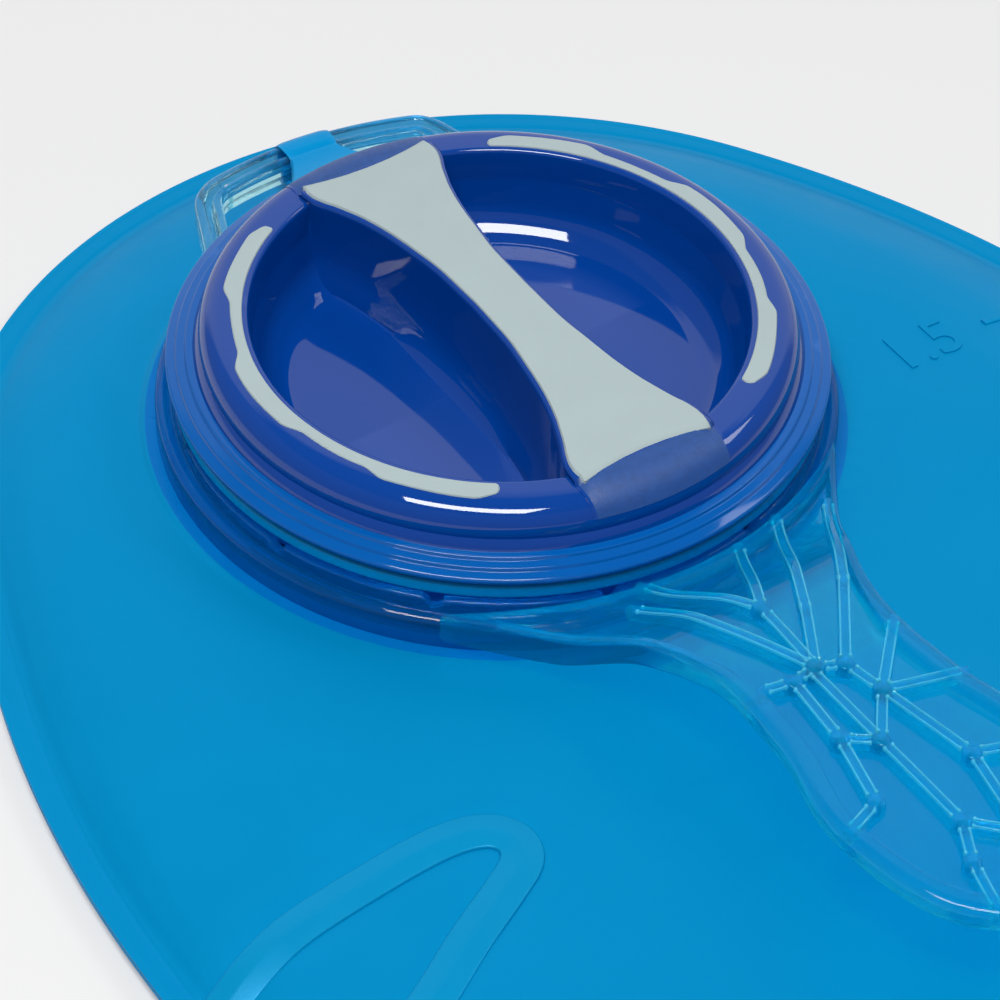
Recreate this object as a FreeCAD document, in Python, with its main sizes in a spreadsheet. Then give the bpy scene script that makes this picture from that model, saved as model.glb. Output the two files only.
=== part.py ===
import FreeCAD, Part
import math
import os
import Sketcher

# Hydration bladder, lying on its back film. +Z up, +Y towards the filling cap, millimetres.
# The origin is at the middle of the base. Cap, collar, handle and rail are laid out about the
# port axis and then placed at port_y; the outlet is laid out about its own centre.

Vector = FreeCAD.Vector
UP = Vector(0, 0, 1)
doc = FreeCAD.newDocument("hydration_bladder")

SIZES = {
    # bag
    "bag_length": 339.0,
    "bag_width": 197.0,
    "widest_y": 32.5,
    "flank_arc": 185.0,
    "corner_arc": 47.0,
    "film": 0.6,
    "weld_band": 4.0,
    "weld_height": 2.4,
    "front_height": 9.4,
    "port_y": 92.5,
    "film_hole": 46.0,
    # port flange and collar
    "port_flange_rad": 51.2,
    "port_flange_thick": 1.2,
    "neck_inner": 37.3,
    "neck_outer": 39.7,
    "neck_top": 23.4,
    "collar_rad": 49.7,
    "collar_step": 45.6,
    "collar_wall": 3.0,
    "collar_top": 16.0,
    "collar_round": 1.4,
    "collar_floor": 11.2,
    # thread
    "lead": 24.0,
    "starts": 4.0,
    "male_crest": 41.3,
    "male_mid": 18.5,
    "male_arc": 70.0,
    "female_crest": 40.2,
    "female_arc": 40.0,
    "ridge": 2.0,
    "thread_play": 0.6,
    # cap
    "edge_height": 29.0,
    "bowl_rad": 35.9,
    "floor_rad": 29.5,
    "bowl_depth": 13.0,
    "cap_wall": 1.8,
    "seal_height": 3.0,
    "seal_outer": 40.5,
    "seal_inner": 37.0,
    "rim_rad": 43.15,
    "cap_base": 22.6,
    "cap_base_rad": 44.3,
    "skirt_inner": 42.0,
    "skirt_outer": 44.5,
    "skirt_bottom": 12.6,
    "brim_rad": 48.0,
    "brim_bottom": 20.4,
    # grip bar
    "bar_waist": 4.9,
    "bar_end": 11.6,
    "bar_root": 8.2,
    "bar_reach": 36.5,
    "bar_height": 31.6,
    "bar_end_height": 29.8,
    "inlay": 1.0,
    "inlay_border": 0.6,
    "rim_inlay_in": 36.9,
    "rim_inlay_out": 38.7,
    "rim_lobe_out": 39.9,
    "rim_inlay_height": 29.1,
    # handle
    "handle_reach": 129.5,
    "handle_height": 26.6,
    "handle_depth": 3.8,
    "handle_root_extra": 1.8,
    "handle_recess": 1.75,
    "handle_border": 3.2,
    # rail and tether
    "rail_inner": 57.6,
    "rail_outer": 61.8,
    "rail_bottom": 12.2,
    "rail_top": 16.6,
    "rail_half_angle": 18.5,
    "rail_turn": 3.5,
    "leg_half_angle": 28.5,
    "loop_gap": 0.3,
    "loop_wall": 1.4,
    "loop_half_angle": 3.8,
    "strap_thick": 1.2,
    "ring_inner": 44.7,
    "ring_outer": 47.4,
    "ring_bottom": 17.3,
    "ring_thick": 2.3,
    # outlet
    "outlet_y": -132.0,
    "outlet_axis": 19.0,
    "outlet_flange_rad": 18.0,
    "outlet_hub_rad": 14.5,
    "outlet_plug_rad": 11.0,
    "barrel_rad": 8.2,
    "barrel_front": 20.0,
    "barrel_back": 10.0,
    "passage_rad": 3.2,
    "mouth_rad": 5.6,
    "mouth_start": 13.6,
    "socket_rad": 5.05,
    "socket_start": 8.0,
    "seat": 4.0,
    "chamber_rad": 5.0,
    "end_cap": 2.0,
    "poppet_rad": 4.4,
    "poppet_thick": 1.5,
    "stem_rad": 1.4,
    "spring_rad": 3.1,
    "spring_wire": 0.35,
    "latch_x": 16.0,
    "latch_thick": 2.0,
    "latch_width": 13.0,
    "latch_gap": 0.15,
    "latch_travel": 1.3,
    "latch_drop": 6.4,
    "spring_pit": 0.8,
    "latch_hole": 5.3,
    "button_top": 31.2,
    "button_length": 8.0,
}

sheet = doc.addObject("Spreadsheet::Sheet", "Sizes")
for row, (alias, value) in enumerate(SIZES.items(), 1):
    sheet.set(f"A{row}", alias)
    sheet.set(f"B{row}", str(value))
    sheet.setAlias(f"B{row}", alias)
doc.recompute()
ALIASES = tuple(SIZES)


def size(alias):
    """A driving dimension, read from the sheet."""
    return float(sheet.get(alias))


def number(text):
    """The value of a sum such as 'neck_outer - cap_wall' of aliases and numbers."""
    total, sign = 0.0, 1
    for word in text.split():
        if word in ("+", "-"):
            sign = 1 if word == "+" else -1
        else:
            total += sign * (size(word) if word in ALIASES else float(word))
            sign = 1
    return total


def formula(text):
    """The same sum as an expression that follows the sheet."""
    return " ".join("Sizes." + word if word in ALIASES else word for word in text.split())


def plane_of(body, role):
    return next(item for item in body.Origin.OriginFeatures if item.Role == role)


def outline_sketch(body, role, corners):
    """A closed outline of straight edges whose corners are bound to the sheet."""
    sketch = body.newObject("Sketcher::SketchObject", "Outline")
    sketch.AttachmentSupport = [(plane_of(body, role), "")]
    sketch.MapMode = "FlatFace"
    points = [Vector(number(x), number(y), 0) for x, y in corners]
    for index, point in enumerate(points):
        sketch.addGeometry(Part.LineSegment(point, points[(index + 1) % len(points)]))
    for index, (x, y) in enumerate(corners):
        before = (index - 1) % len(corners)
        sketch.addConstraint(Sketcher.Constraint("Coincident", before, 2, index, 1))
        for kind, axis, text in (("DistanceX", -2, x), ("DistanceY", -1, y)):
            if number(text) == 0:
                sketch.addConstraint(Sketcher.Constraint("PointOnObject", index, 1, axis))
                continue
            made = sketch.addConstraint(Sketcher.Constraint(kind, -1, 1, index, 1, number(text)))
            sketch.setExpression(f"Constraints[{made}]", formula(text))
    return sketch


def body_of(label, x="0", y="0", z="0"):
    """A new body whose place is bound to the sheet."""
    body = doc.addObject("PartDesign::Body", label)
    body.Label = label
    for axis, text in (("x", x), ("y", y), ("z", z)):
        if text != "0":
            body.setExpression(f"Placement.Base.{axis}", formula(text))
    return body


def turned(label, corners, x="0", y="0", z="0"):
    """A body turned about +Z from (radius, height) corners."""
    body = body_of(label, x, y, z)
    sketch = outline_sketch(body, "XZ_Plane", corners)
    turn = body.newObject("PartDesign::Revolution", "Turn")
    turn.Profile = sketch
    turn.ReferenceAxis = (sketch, ["V_Axis"])
    turn.Angle = 360
    doc.recompute()
    return body


def turned_along_x(label, corners, x="0", y="0", z="0"):
    """A body turned about +X from (distance along X, radius) corners."""
    body = body_of(label, x, y, z)
    sketch = outline_sketch(body, "XZ_Plane", corners)
    turn = body.newObject("PartDesign::Revolution", "Turn")
    turn.Profile = sketch
    turn.ReferenceAxis = (sketch, ["H_Axis"])
    turn.Angle = 360
    doc.recompute()
    return body


def feature(label, shape, x=0.0, y=0.0):
    """A plain feature with a finished shape, then its place."""
    made = doc.addObject("Part::Feature", label)
    made.Label = label
    made.Shape = shape
    made.Placement = FreeCAD.Placement(Vector(x, y, 0), FreeCAD.Rotation()).multiply(shape.Placement)
    return made


def combined(kind, label, base, tool, y="0"):
    """A Part boolean of two document objects."""
    made = doc.addObject(kind, label)
    made.Label = label
    made.Base = base
    made.Tool = tool
    if y != "0":
        made.setExpression("Placement.Base.y", formula(y))
    return made


def turn_about_z(shape, degrees):
    shape.rotate(Vector(0, 0, 0), UP, degrees)
    return shape


def cylinder(radius, low, high):
    return Part.makeCylinder(radius, high - low, Vector(0, 0, low))


def ring(inner, outer, low, high):
    return cylinder(outer, low, high).cut(cylinder(inner, low - 1, high + 1))


def sector(inner, outer, low, high, start, end):
    """Part of a ring between two angles, in degrees from +X."""
    wedge = Part.makeCylinder(outer, high - low, Vector(0, 0, low), UP, end - start)
    return turn_about_z(wedge, start).cut(cylinder(inner, low - 1, high + 1))


def cylinder_x(radius, start, end, height):
    return Part.makeCylinder(radius, end - start, Vector(start, 0, height), Vector(1, 0, 0))


# ---------------------------------------------------------------- bag

def bag_outline(inset, height):
    """The bag's outline, moved in by inset: round top, swelling flanks, round bottom corners."""
    half = size("bag_width") / 2
    top = size("bag_length") / 2
    flank = size("flank_arc")
    corner = size("corner_arc")
    widest = size("widest_y")
    inward = flank - half
    rise = top - widest
    crown = (flank ** 2 - inward ** 2 - rise ** 2) / (2 * (flank - rise))
    crown_y = top - crown
    lean = math.atan2(crown_y - widest, inward)
    crown, flank, corner = crown - inset, flank - inset, corner - inset
    corner_x = half - size("corner_arc")
    corner_y = size("corner_arc") - top

    def arc(x, y, radius, angles):
        spots = [Vector(x + radius * math.cos(a), y + radius * math.sin(a), height) for a in angles]
        return Part.Arc(*spots).toShape()

    quarter = math.pi / 2
    right = half - inset
    bottom = -top + inset
    edges = [
        arc(0, crown_y, crown, (lean, quarter, 2 * quarter - lean)),
        arc(inward, widest, flank, (2 * quarter - lean, 2 * quarter - lean / 2, 2 * quarter)),
        Part.LineSegment(Vector(-right, widest, height), Vector(-right, corner_y, height)).toShape(),
        arc(-corner_x, corner_y, corner, (2 * quarter, 2.5 * quarter, 3 * quarter)),
        Part.LineSegment(Vector(-corner_x, bottom, height), Vector(corner_x, bottom, height)).toShape(),
        arc(corner_x, corner_y, corner, (3 * quarter, 3.5 * quarter, 4 * quarter)),
        Part.LineSegment(Vector(right, corner_y, height), Vector(right, widest, height)).toShape(),
        arc(-inward, widest, flank, (0, lean / 2, lean)),
    ]
    return Part.Wire(edges)


def bag_loft(steps):
    """A solid through outlines given as (inset, height)."""
    return Part.makeLoft([bag_outline(inset, height) for inset, height in steps], True, True)


def flat_band(low, high):
    return Part.Face(bag_outline(0, low)).extrude(Vector(0, 0, high - low))


def at_port(shape):
    return shape.translated(Vector(0, size("port_y"), 0))


def at_outlet(shape):
    return shape.translated(Vector(0, size("outlet_y"), 0))


def make_films():
    film = size("film")
    band = size("weld_band")
    seam = size("weld_height")
    top = size("front_height")
    dome = [(band, seam), (10, 5.4), (18, 7.6), (30, 9.0), (44, top)]
    hollow = [(band + film, seam)] + [(inset, height - film) for inset, height in dome[1:]]
    front = bag_loft(dome).fuse(flat_band(seam, seam + film)).cut(bag_loft(hollow))
    under = top - film - size("port_flange_thick")
    for place, radius in ((at_port, size("port_flange_rad")), (at_outlet, size("outlet_flange_rad"))):
        raised = place(cylinder(radius + film, under, top))
        front = front.fuse(raised).cut(place(cylinder(radius, seam, top - film)))
    front = front.cut(at_port(cylinder(size("film_hole"), seam, top + 1)))
    front = front.cut(at_outlet(cylinder(size("outlet_plug_rad") + 0.2, seam, top + 1)))
    feature("front_film", front.removeSplitter())
    tray = [(18, 0.0), (10, 0.7), (band, seam)]
    inside = [(18.2, film), (10.3, 0.7 + film), (band + film, seam)]
    back = bag_loft(tray).fuse(flat_band(seam - film, seam)).cut(bag_loft(inside))
    feature("back_film", back.removeSplitter())


# ---------------------------------------------------------------- port and collar

def thread_ridges(inner, outer, middle, arc):
    """Ramps of the coarse thread: equal lengths of one right-handed helical ridge per start."""
    half = size("ridge") / 2
    steps = 5
    angles = [arc * (step / (steps - 1) - 0.5) for step in range(steps)]
    sections = []
    for angle in angles:
        height = middle + size("lead") * angle / 360
        spots = [Vector(radius, 0, height + dz) for radius, dz in
                 ((inner, -half), (outer, -half * 0.6), (outer, half * 0.6), (inner, half))]
        sections.append(turn_about_z(Part.makePolygon(spots + spots[:1]), angle))
    ridge = Part.makeLoft(sections, True, False)
    starts = int(size("starts"))
    return [turn_about_z(ridge.copy(), 360 * start / starts) for start in range(starts)]


def make_port():
    turned("port_flange", [
        ("neck_inner + 0.2", "front_height - film - port_flange_thick"),
        ("port_flange_rad", "front_height - film - port_flange_thick"),
        ("port_flange_rad", "front_height - film"),
        ("neck_inner + 0.2", "front_height - film"),
    ], y="port_y")
    plain = turned("collar_plain", [
        ("neck_inner", "front_height - film"),
        ("collar_step", "front_height - film"),
        ("collar_step", "front_height"),
        ("collar_rad", "front_height"),
        ("collar_rad", "collar_top - collar_round"),
        ("collar_rad - collar_round", "collar_top"),
        ("collar_rad - collar_wall", "collar_top"),
        ("collar_rad - collar_wall", "collar_floor"),
        ("neck_outer", "collar_floor"),
        ("neck_outer", "neck_top"),
        ("neck_inner", "neck_top"),
    ])
    ridges = thread_ridges(size("neck_outer") - 0.6, size("male_crest"), size("male_mid"), size("male_arc"))
    thread = feature("neck_thread", Part.makeCompound(ridges))
    combined("Part::Fuse", "port_collar", plain, thread, "port_y")


# ---------------------------------------------------------------- cap

def bar_plan(border, low, high):
    """The hourglass outline of the grip bar, pulled in by border, as a block."""
    waist = size("bar_waist") - border
    end = size("bar_end") - border
    reach = size("rim_rad") + 2
    side = size("bar_reach")

    def edge(sign):
        shares = ((0, 0), (15, 0.16), (25, 0.45), (31, 0.8), (side, 1))
        half = [(y, waist + share * (end - waist)) for y, share in shares]
        both = [(-y, x) for y, x in half[:0:-1]] + half
        spots = [Vector(sign * x, y, low) for y, x in both]
        curve = Part.BSplineCurve()
        curve.interpolate(spots if sign > 0 else spots[::-1])
        return curve.toShape()

    right, left = edge(1), edge(-1)
    corners = [Vector(x, y, low) for x, y in ((end, side), (end, reach), (-end, reach), (-end, side))]
    far = [Part.LineSegment(a, b).toShape() for a, b in zip(corners, corners[1:])]
    near = [Part.LineSegment(a * -1 + Vector(0, 0, 2 * low), b * -1 + Vector(0, 0, 2 * low)).toShape()
            for a, b in zip(corners, corners[1:])]
    outline = Part.Wire([right] + far + [left] + near)
    return Part.Face(outline).extrude(Vector(0, 0, high - low))


def bar_side(lift, low, reach):
    """The grip bar's crowned side view, raised by lift, with its sloping end facets, as a block."""
    crown = size("bar_height") + lift
    shoulder = size("bar_end_height") + lift
    side = size("bar_reach")
    wide = 30.0
    spots = [Vector(-wide, y, z) for y, z in ((-side, shoulder), (0, crown), (side, shoulder))]
    top = Part.Arc(*spots).toShape()
    foot = size("edge_height") - 3.6 + lift
    rest = [Vector(-wide, side, shoulder), Vector(-wide, reach, foot), Vector(-wide, reach, low),
            Vector(-wide, -reach, low), Vector(-wide, -reach, foot), Vector(-wide, -side, shoulder)]
    outline = Part.Wire([top] + [Part.LineSegment(a, b).toShape() for a, b in zip(rest, rest[1:])])
    return Part.Face(outline).extrude(Vector(2 * wide, 0, 0))


def inside_of_cap(low, high):
    """The room for the grip bar: the bowl down to half its wall, and the rim above the seal."""
    bowl = size("bowl_rad")
    rim = size("rim_rad") + 0.4
    roof = size("neck_top") + size("seal_height") + 0.2
    corners = [(0, low), (size("floor_rad") + 1.5, low), (bowl - 1.8, low + 1.9), (bowl, low + 6.3),
               (bowl + 0.4, roof), (bowl + 5.1, roof), (bowl + 5.1, roof - 1.8), (rim, roof - 1.8),
               (rim, high), (0, high)]
    spots = [Vector(radius, 0, height) for radius, height in corners]
    half = Part.Face(Part.makePolygon(spots + spots[:1]))
    return half.revolve(Vector(0, 0, 0), UP, 360)


def rim_inlay(side):
    """One grey arc on the rim: a narrow band with three wider lobes. side is 1 on +X and -1 on -X."""
    low = size("rim_inlay_height") - size("inlay")
    high = size("rim_inlay_height")
    band = sector(size("rim_inlay_in"), size("rim_inlay_out"), low, high, -57, 60)
    for start, end in ((36, 57), (-9, 14), (-54, -31)):
        band = band.fuse(sector(size("rim_inlay_in"), size("rim_lobe_out"), low, high, start, end))
    band = band.removeSplitter()
    if side < 0:
        band = band.mirror(Vector(0, 0, 0), Vector(1, 0, 0))
    return band


def make_cap():
    plain = turned("cap_bowl", [
        ("0", "edge_height - bowl_depth - cap_wall"),
        ("floor_rad + 1", "edge_height - bowl_depth - cap_wall"),
        ("floor_rad + 5.1", "edge_height - bowl_depth + 1"),
        ("bowl_rad + 0.5", "edge_height - 7.4"),
        ("bowl_rad + 1", "neck_top + seal_height"),
        ("neck_outer + 0.9", "neck_top + seal_height"),
        ("neck_outer + 0.9", "cap_base"),
        ("cap_base_rad", "cap_base"),
        ("rim_rad + 0.45", "cap_base + 1.4"),
        ("rim_rad", "edge_height - 3.6"),
        ("rim_rad - 1.15", "edge_height - 1.2"),
        ("rim_rad - 2.95", "edge_height - 0.2"),
        ("rim_rad - 4.55", "edge_height"),
        ("bowl_rad + 0.7", "edge_height"),
        ("bowl_rad", "edge_height - 0.6"),
        ("bowl_rad - 0.7", "edge_height - 6.4"),
        ("floor_rad + 4.1", "edge_height - bowl_depth + 2.4"),
        ("floor_rad", "edge_height - bowl_depth"),
        ("0", "edge_height - bowl_depth"),
    ])
    floor = size("edge_height") - size("bowl_depth")
    bar = bar_plan(0, floor - 0.5, 36).common(bar_side(0, floor - 0.5, size("rim_rad") + 0.4))
    bar = bar.common(inside_of_cap(floor - 0.5, 36))
    foot = Part.makeBox(2 * size("bar_root"), 2 * size("floor_rad") - 6, 2,
                        Vector(-size("bar_root"), 3 - size("floor_rad"), floor - 0.5))
    core = Part.makeBox(2 * (size("bar_waist") - 2), 2 * size("floor_rad") - 8, 12.5,
                        Vector(2 - size("bar_waist"), 4 - size("floor_rad"), floor - 3))
    inlay = bar_plan(size("inlay_border"), 20, 36)
    inlay = inlay.common(bar_side(0.35, 20, 90)).cut(bar_side(0.35 - size("inlay"), 10, 90))
    inlay = inlay.common(Part.makeBox(60, 2 * size("bar_reach"), 40, Vector(-30, -size("bar_reach"), 0)))
    left, right = rim_inlay(-1), rim_inlay(1)
    grip = feature("bar_solid", bar.fuse(foot))
    pockets = feature("cap_pockets", Part.makeCompound([inlay, left, right, core]))
    whole = combined("Part::Fuse", "bowl_and_bar", plain, grip)
    combined("Part::Cut", "cap_top", whole, pockets, "port_y")
    for label, shape in (("grip_inlay", inlay), ("rim_inlay_left", left), ("rim_inlay_right", right)):
        feature(label, shape, y=size("port_y"))
    turned("cap_seal", [
        ("seal_inner", "neck_top"),
        ("seal_outer", "neck_top"),
        ("seal_outer", "neck_top + seal_height"),
        ("seal_inner", "neck_top + seal_height"),
    ], y="port_y")


def make_thread_ring():
    plain = turned("skirt_plain", [
        ("skirt_inner", "skirt_bottom"),
        ("skirt_outer", "skirt_bottom"),
        ("skirt_outer", "skirt_bottom + 3"),
        ("skirt_outer + 0.6", "skirt_bottom + 3.5"),
        ("skirt_outer + 0.6", "skirt_bottom + 4.1"),
        ("skirt_outer", "skirt_bottom + 4.4"),
        ("skirt_outer", "brim_bottom"),
        ("brim_rad", "brim_bottom"),
        ("brim_rad", "brim_bottom + 0.9"),
        ("brim_rad - 1.4", "brim_bottom + 1.8"),
        ("skirt_outer + 0.4", "cap_base"),
        ("skirt_inner", "cap_base"),
    ])
    middle = size("male_mid") - size("ridge") - size("thread_play")
    ridges = thread_ridges(size("skirt_inner") + 0.6, size("female_crest"), middle, size("female_arc"))
    thread = feature("skirt_thread", Part.makeCompound(ridges))
    combined("Part::Fuse", "cap_thread_ring", plain, thread, "port_y")


# ---------------------------------------------------------------- handle, rail and tether

def handle_plan(border):
    """The handle from above, pulled in by border: broad root on the collar, narrow neck, round paddle."""
    reach = size("handle_reach") - border
    half = [(33.5, -37), (20.5, -56), (14.0, -72), (14.4, -88), (17.6, -104), (12.6, border - 123)]
    spots = [Vector(x - border, y, 0) for x, y in half] + [Vector(0, -reach, 0)]
    spots += [Vector(border - x, y, 0) for x, y in half[::-1]]
    curve = Part.BSplineCurve()
    curve.interpolate(spots)
    closing = Part.LineSegment(spots[-1], spots[0]).toShape()
    return Part.Face(Part.Wire([curve.toShape(), closing]))


def handle_side(top_drop, depth):
    """The handle's side view: it climbs from the collar and then runs level above the bag."""
    high = size("handle_height") - top_drop
    top = [(-36, high - 10.6), (-50, high - 8.6), (-62, high - 3.0), (-78, high - 0.9),
           (-104, high), (-size("handle_reach") - 2, high - 0.4)]
    extra = size("handle_root_extra")
    thick = [depth + extra, depth + extra, depth + extra / 2, depth, depth, depth]
    least = size("front_height") + 0.4
    low = [(y, max(z - t, least)) for (y, z), t in zip(top, thick)]
    wide = 50.0

    def curve(points):
        made = Part.BSplineCurve()
        made.interpolate([Vector(-wide, y, z) for y, z in points])
        return made.toShape()

    ends = [Part.LineSegment(Vector(-wide, *top[-1]), Vector(-wide, *low[-1])).toShape(),
            Part.LineSegment(Vector(-wide, *low[0]), Vector(-wide, *top[0])).toShape()]
    outline = Part.Wire([curve(top), ends[0], curve(low[::-1]), ends[1]])
    return Part.Face(outline).extrude(Vector(2 * wide, 0, 0))


def make_handle():
    tall = Vector(0, 0, 40)
    border = size("handle_border")
    depth = size("handle_depth")
    outer = handle_plan(0).extrude(tall).common(handle_side(0, depth))
    inner = handle_plan(border).extrude(tall)
    recess = inner.common(handle_side(-2, 2 + size("handle_recess")))
    keep = cylinder(size("collar_rad"), 0, 60)
    rooted = cylinder(size("collar_rad") + 1, 0, 60)
    shape = outer.cut(recess.cut(rooted)).cut(keep)
    feature("handle", shape.removeSplitter(), y=size("port_y"))


def rail_angles(half_angle):
    middle = 90 - size("rail_turn")
    return middle - half_angle, middle + half_angle


def make_rail():
    low, high = size("rail_bottom"), size("rail_top")
    start, end = rail_angles(size("rail_half_angle"))
    rail = sector(size("rail_inner"), size("rail_outer"), low, high, start, end)
    groove = (size("rail_inner") + size("rail_outer")) / 2
    rail = rail.cut(sector(groove - 0.5, groove + 0.5, high - 1.6, high + 1, start + 2, end - 2))
    for inner_angle, outer_angle in zip(rail_angles(size("leg_half_angle")), (start, end)):
        spots = []
        for radius, angle in ((size("collar_rad") - 1, inner_angle), (groove, outer_angle)):
            turn = math.radians(angle)
            spots.append(Vector(radius * math.cos(turn), radius * math.sin(turn), low))
        along = (spots[1] - spots[0]).normalize()
        across = Vector(-along.y, along.x, 0) * 1.7
        corners = [spots[0] - across, spots[1] - across, spots[1] + across, spots[0] + across]
        leg = Part.Face(Part.makePolygon(corners + corners[:1])).extrude(Vector(0, 0, high - low))
        knuckle = Part.makeCylinder((size("rail_outer") - size("rail_inner")) / 2, high - low, spots[1])
        rail = rail.fuse(leg).fuse(knuckle)
    rail = rail.cut(cylinder(size("collar_rad"), 0, 60)).removeSplitter()
    feature("rail", rail, y=size("port_y"))


def make_tether():
    gap, wall = size("loop_gap"), size("loop_wall")
    start, end = rail_angles(size("loop_half_angle"))
    inner, outer = size("rail_inner") - gap, size("rail_outer") + gap
    low, high = size("rail_bottom") - gap, size("rail_top") + gap
    loop = sector(inner - wall, outer + wall, low - wall, high + wall, start, end)
    loop = loop.cut(sector(inner, outer, low, high, start - 1, end + 1))
    feature("tether_loop", loop, y=size("port_y"))
    top = high + wall
    strap = sector(size("ring_outer"), inner - wall, top - size("strap_thick"), top, start, end)
    for side in (start - 3.5, end - 2.5):
        flare = sector(size("ring_outer"), (size("ring_outer") + inner - wall) / 2,
                       top - size("strap_thick"), top, side, side + 6)
        strap = strap.fuse(flare)
    feature("tether_strap", strap.removeSplitter(), y=size("port_y"))
    turned("tether_ring", [
        ("ring_inner", "ring_bottom"),
        ("ring_outer", "ring_bottom"),
        ("ring_outer", "ring_bottom + ring_thick"),
        ("ring_inner", "ring_bottom + ring_thick"),
    ], y="port_y")


# ---------------------------------------------------------------- outlet

def make_outlet_body():
    """Hub, block and barrel with the valve chamber, seal socket, mouth and latch slot cut out."""
    base = size("front_height") - size("film")
    axis = size("outlet_axis")
    hub = cylinder(size("outlet_plug_rad"), base, base + 1)
    hub = hub.fuse(cylinder(size("outlet_hub_rad"), size("front_height"), size("front_height") + 2))
    barrel = cylinder_x(size("barrel_rad"), -size("barrel_back"), size("barrel_front"), axis)
    block = Part.makeBox(size("barrel_front") + size("barrel_back") - 5, 13, axis - size("front_height") - 1,
                         Vector(-size("barrel_back") + 1, -6.5, size("front_height") + 1))
    tower = Part.makeBox(6, size("latch_width") + 3, axis + 5 - size("front_height"),
                         Vector(size("latch_x") - 3, -size("latch_width") / 2 - 1.5, size("front_height")))
    whole = hub.fuse([barrel, block, tower])
    cuts = [
        cylinder(size("passage_rad"), base - 1, axis),
        cylinder_x(size("chamber_rad"), -size("barrel_back") - 1, size("seat"), axis),
        cylinder_x(size("passage_rad"), size("seat") - 1, size("socket_start") + 1, axis),
        cylinder_x(size("socket_rad"), size("socket_start"), size("mouth_start") + 1, axis),
        cylinder_x(size("mouth_rad"), size("mouth_start"), size("barrel_front") + 1, axis),
        cylinder_x(size("socket_rad") + 1.4, 10.0, 12.0, axis),
        latch_slot(),
    ]
    for tool in cuts:
        whole = whole.cut(tool)
    feature("outlet_body", whole.removeSplitter(), y=size("outlet_y"))


def latch_slot():
    gap = size("latch_gap")
    thick = size("latch_thick") + 2 * gap
    width = size("latch_width") + 2 * gap
    bottom = size("outlet_axis") - size("latch_drop") - size("latch_travel") - 0.2
    slot = Part.makeBox(thick, width, 40, Vector(size("latch_x") - thick / 2, -width / 2, bottom))
    deep = size("spring_pit")
    pit = Part.makeCylinder(0.95, deep + 1, Vector(size("latch_x"), 0, bottom - deep))
    return slot.fuse(pit)


def make_latch():
    """Sliding plate with a keyhole for the plug's shoulder, and the thumb button on its top edge."""
    axis = size("outlet_axis")
    thick, width = size("latch_thick"), size("latch_width")
    low = axis - size("latch_drop")
    left = size("latch_x") - thick / 2
    plate = Part.makeBox(thick, width, size("button_top") - 2.4 - low, Vector(left, -width / 2, low))
    top = size("button_top")
    button = Part.makeBox(size("button_length"), width + 2, 2.4,
                          Vector(size("latch_x") - size("button_length") / 2, -width / 2 - 1, top - 2.4))
    upright = [edge for edge in button.Edges if abs(edge.tangentAt(edge.FirstParameter).z) > 0.9]
    button = button.makeFillet(2.0, upright)
    latch = plate.fuse(button)
    rise = size("latch_travel")
    for height in (axis, axis + rise):
        latch = latch.cut(cylinder_x(size("latch_hole"), left - 1, left + thick + 1, height))
    between = Part.makeBox(thick + 2, 2 * size("latch_hole"), rise,
                           Vector(left - 1, -size("latch_hole"), axis))
    latch = latch.cut(between)
    feature("release_latch", latch.removeSplitter(), y=size("outlet_y"))
    foot = low - size("latch_travel") - 0.2 - size("spring_pit")
    feature("latch_spring", coil(0.62, 0.14, low - foot - 0.04, 3.0).translated(
        Vector(size("latch_x"), 0, foot + 0.02)), y=size("outlet_y"))


def coil(radius, wire, length, turns):
    """An open coil spring standing on the origin, with its ends inside length."""
    height = length - 2 * wire
    helix = Part.makeHelix(height / turns, height, radius)
    circle = Part.Wire(Part.makeCircle(wire, Vector(radius, 0, 0), Vector(0, 1, 0)))
    return Part.Wire(helix).makePipeShell([circle], True, True).translated(Vector(0, 0, wire))


def make_valve():
    y, z = "outlet_y", "outlet_axis"
    turned_along_x("valve_poppet", [
        ("seat - 2.3", "0"),
        ("seat - 2.3", "poppet_rad"),
        ("seat - 0.8", "poppet_rad"),
        ("seat - 0.8", "stem_rad"),
        ("socket_start - 0.5", "stem_rad"),
        ("socket_start - 0.5", "0"),
    ], y=y, z=z)
    turned_along_x("poppet_seal", [
        ("seat - 0.8", "stem_rad"),
        ("seat", "stem_rad + 0.1"),
        ("seat", "poppet_rad"),
        ("seat - 0.8", "poppet_rad"),
    ], y=y, z=z)
    turned_along_x("outlet_end_cap", [
        ("0 - barrel_back - end_cap", "0"),
        ("0 - barrel_back - end_cap", "barrel_rad - 1.2"),
        ("0 - barrel_back", "barrel_rad - 0.8"),
        ("0 - barrel_back", "chamber_rad - 0.05"),
        ("0 - barrel_back + 1.5", "chamber_rad - 0.05"),
        ("0 - barrel_back + 1.5", "0"),
    ], y=y, z=z)
    turned_along_x("socket_seal", [
        ("10", "socket_rad"),
        ("12", "socket_rad"),
        ("12", "socket_rad + 1.4"),
        ("10", "socket_rad + 1.4"),
    ], y=y, z=z)
    back = 1.5 - size("barrel_back")
    length = size("seat") - 2.3 - back
    spring = coil(size("spring_rad"), size("spring_wire"), length, 5.5)
    spring.rotate(Vector(0, 0, 0), Vector(0, 1, 0), 90)
    spring.translate(Vector(back, 0, size("outlet_axis")))
    feature("poppet_spring", spring, y=size("outlet_y"))


def make_outlet_flange():
    turned("outlet_flange", [
        ("passage_rad + 0.2", "front_height - film - port_flange_thick"),
        ("outlet_flange_rad", "front_height - film - port_flange_thick"),
        ("outlet_flange_rad", "front_height - film"),
        ("passage_rad + 0.2", "front_height - film"),
    ], y="outlet_y")


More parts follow.
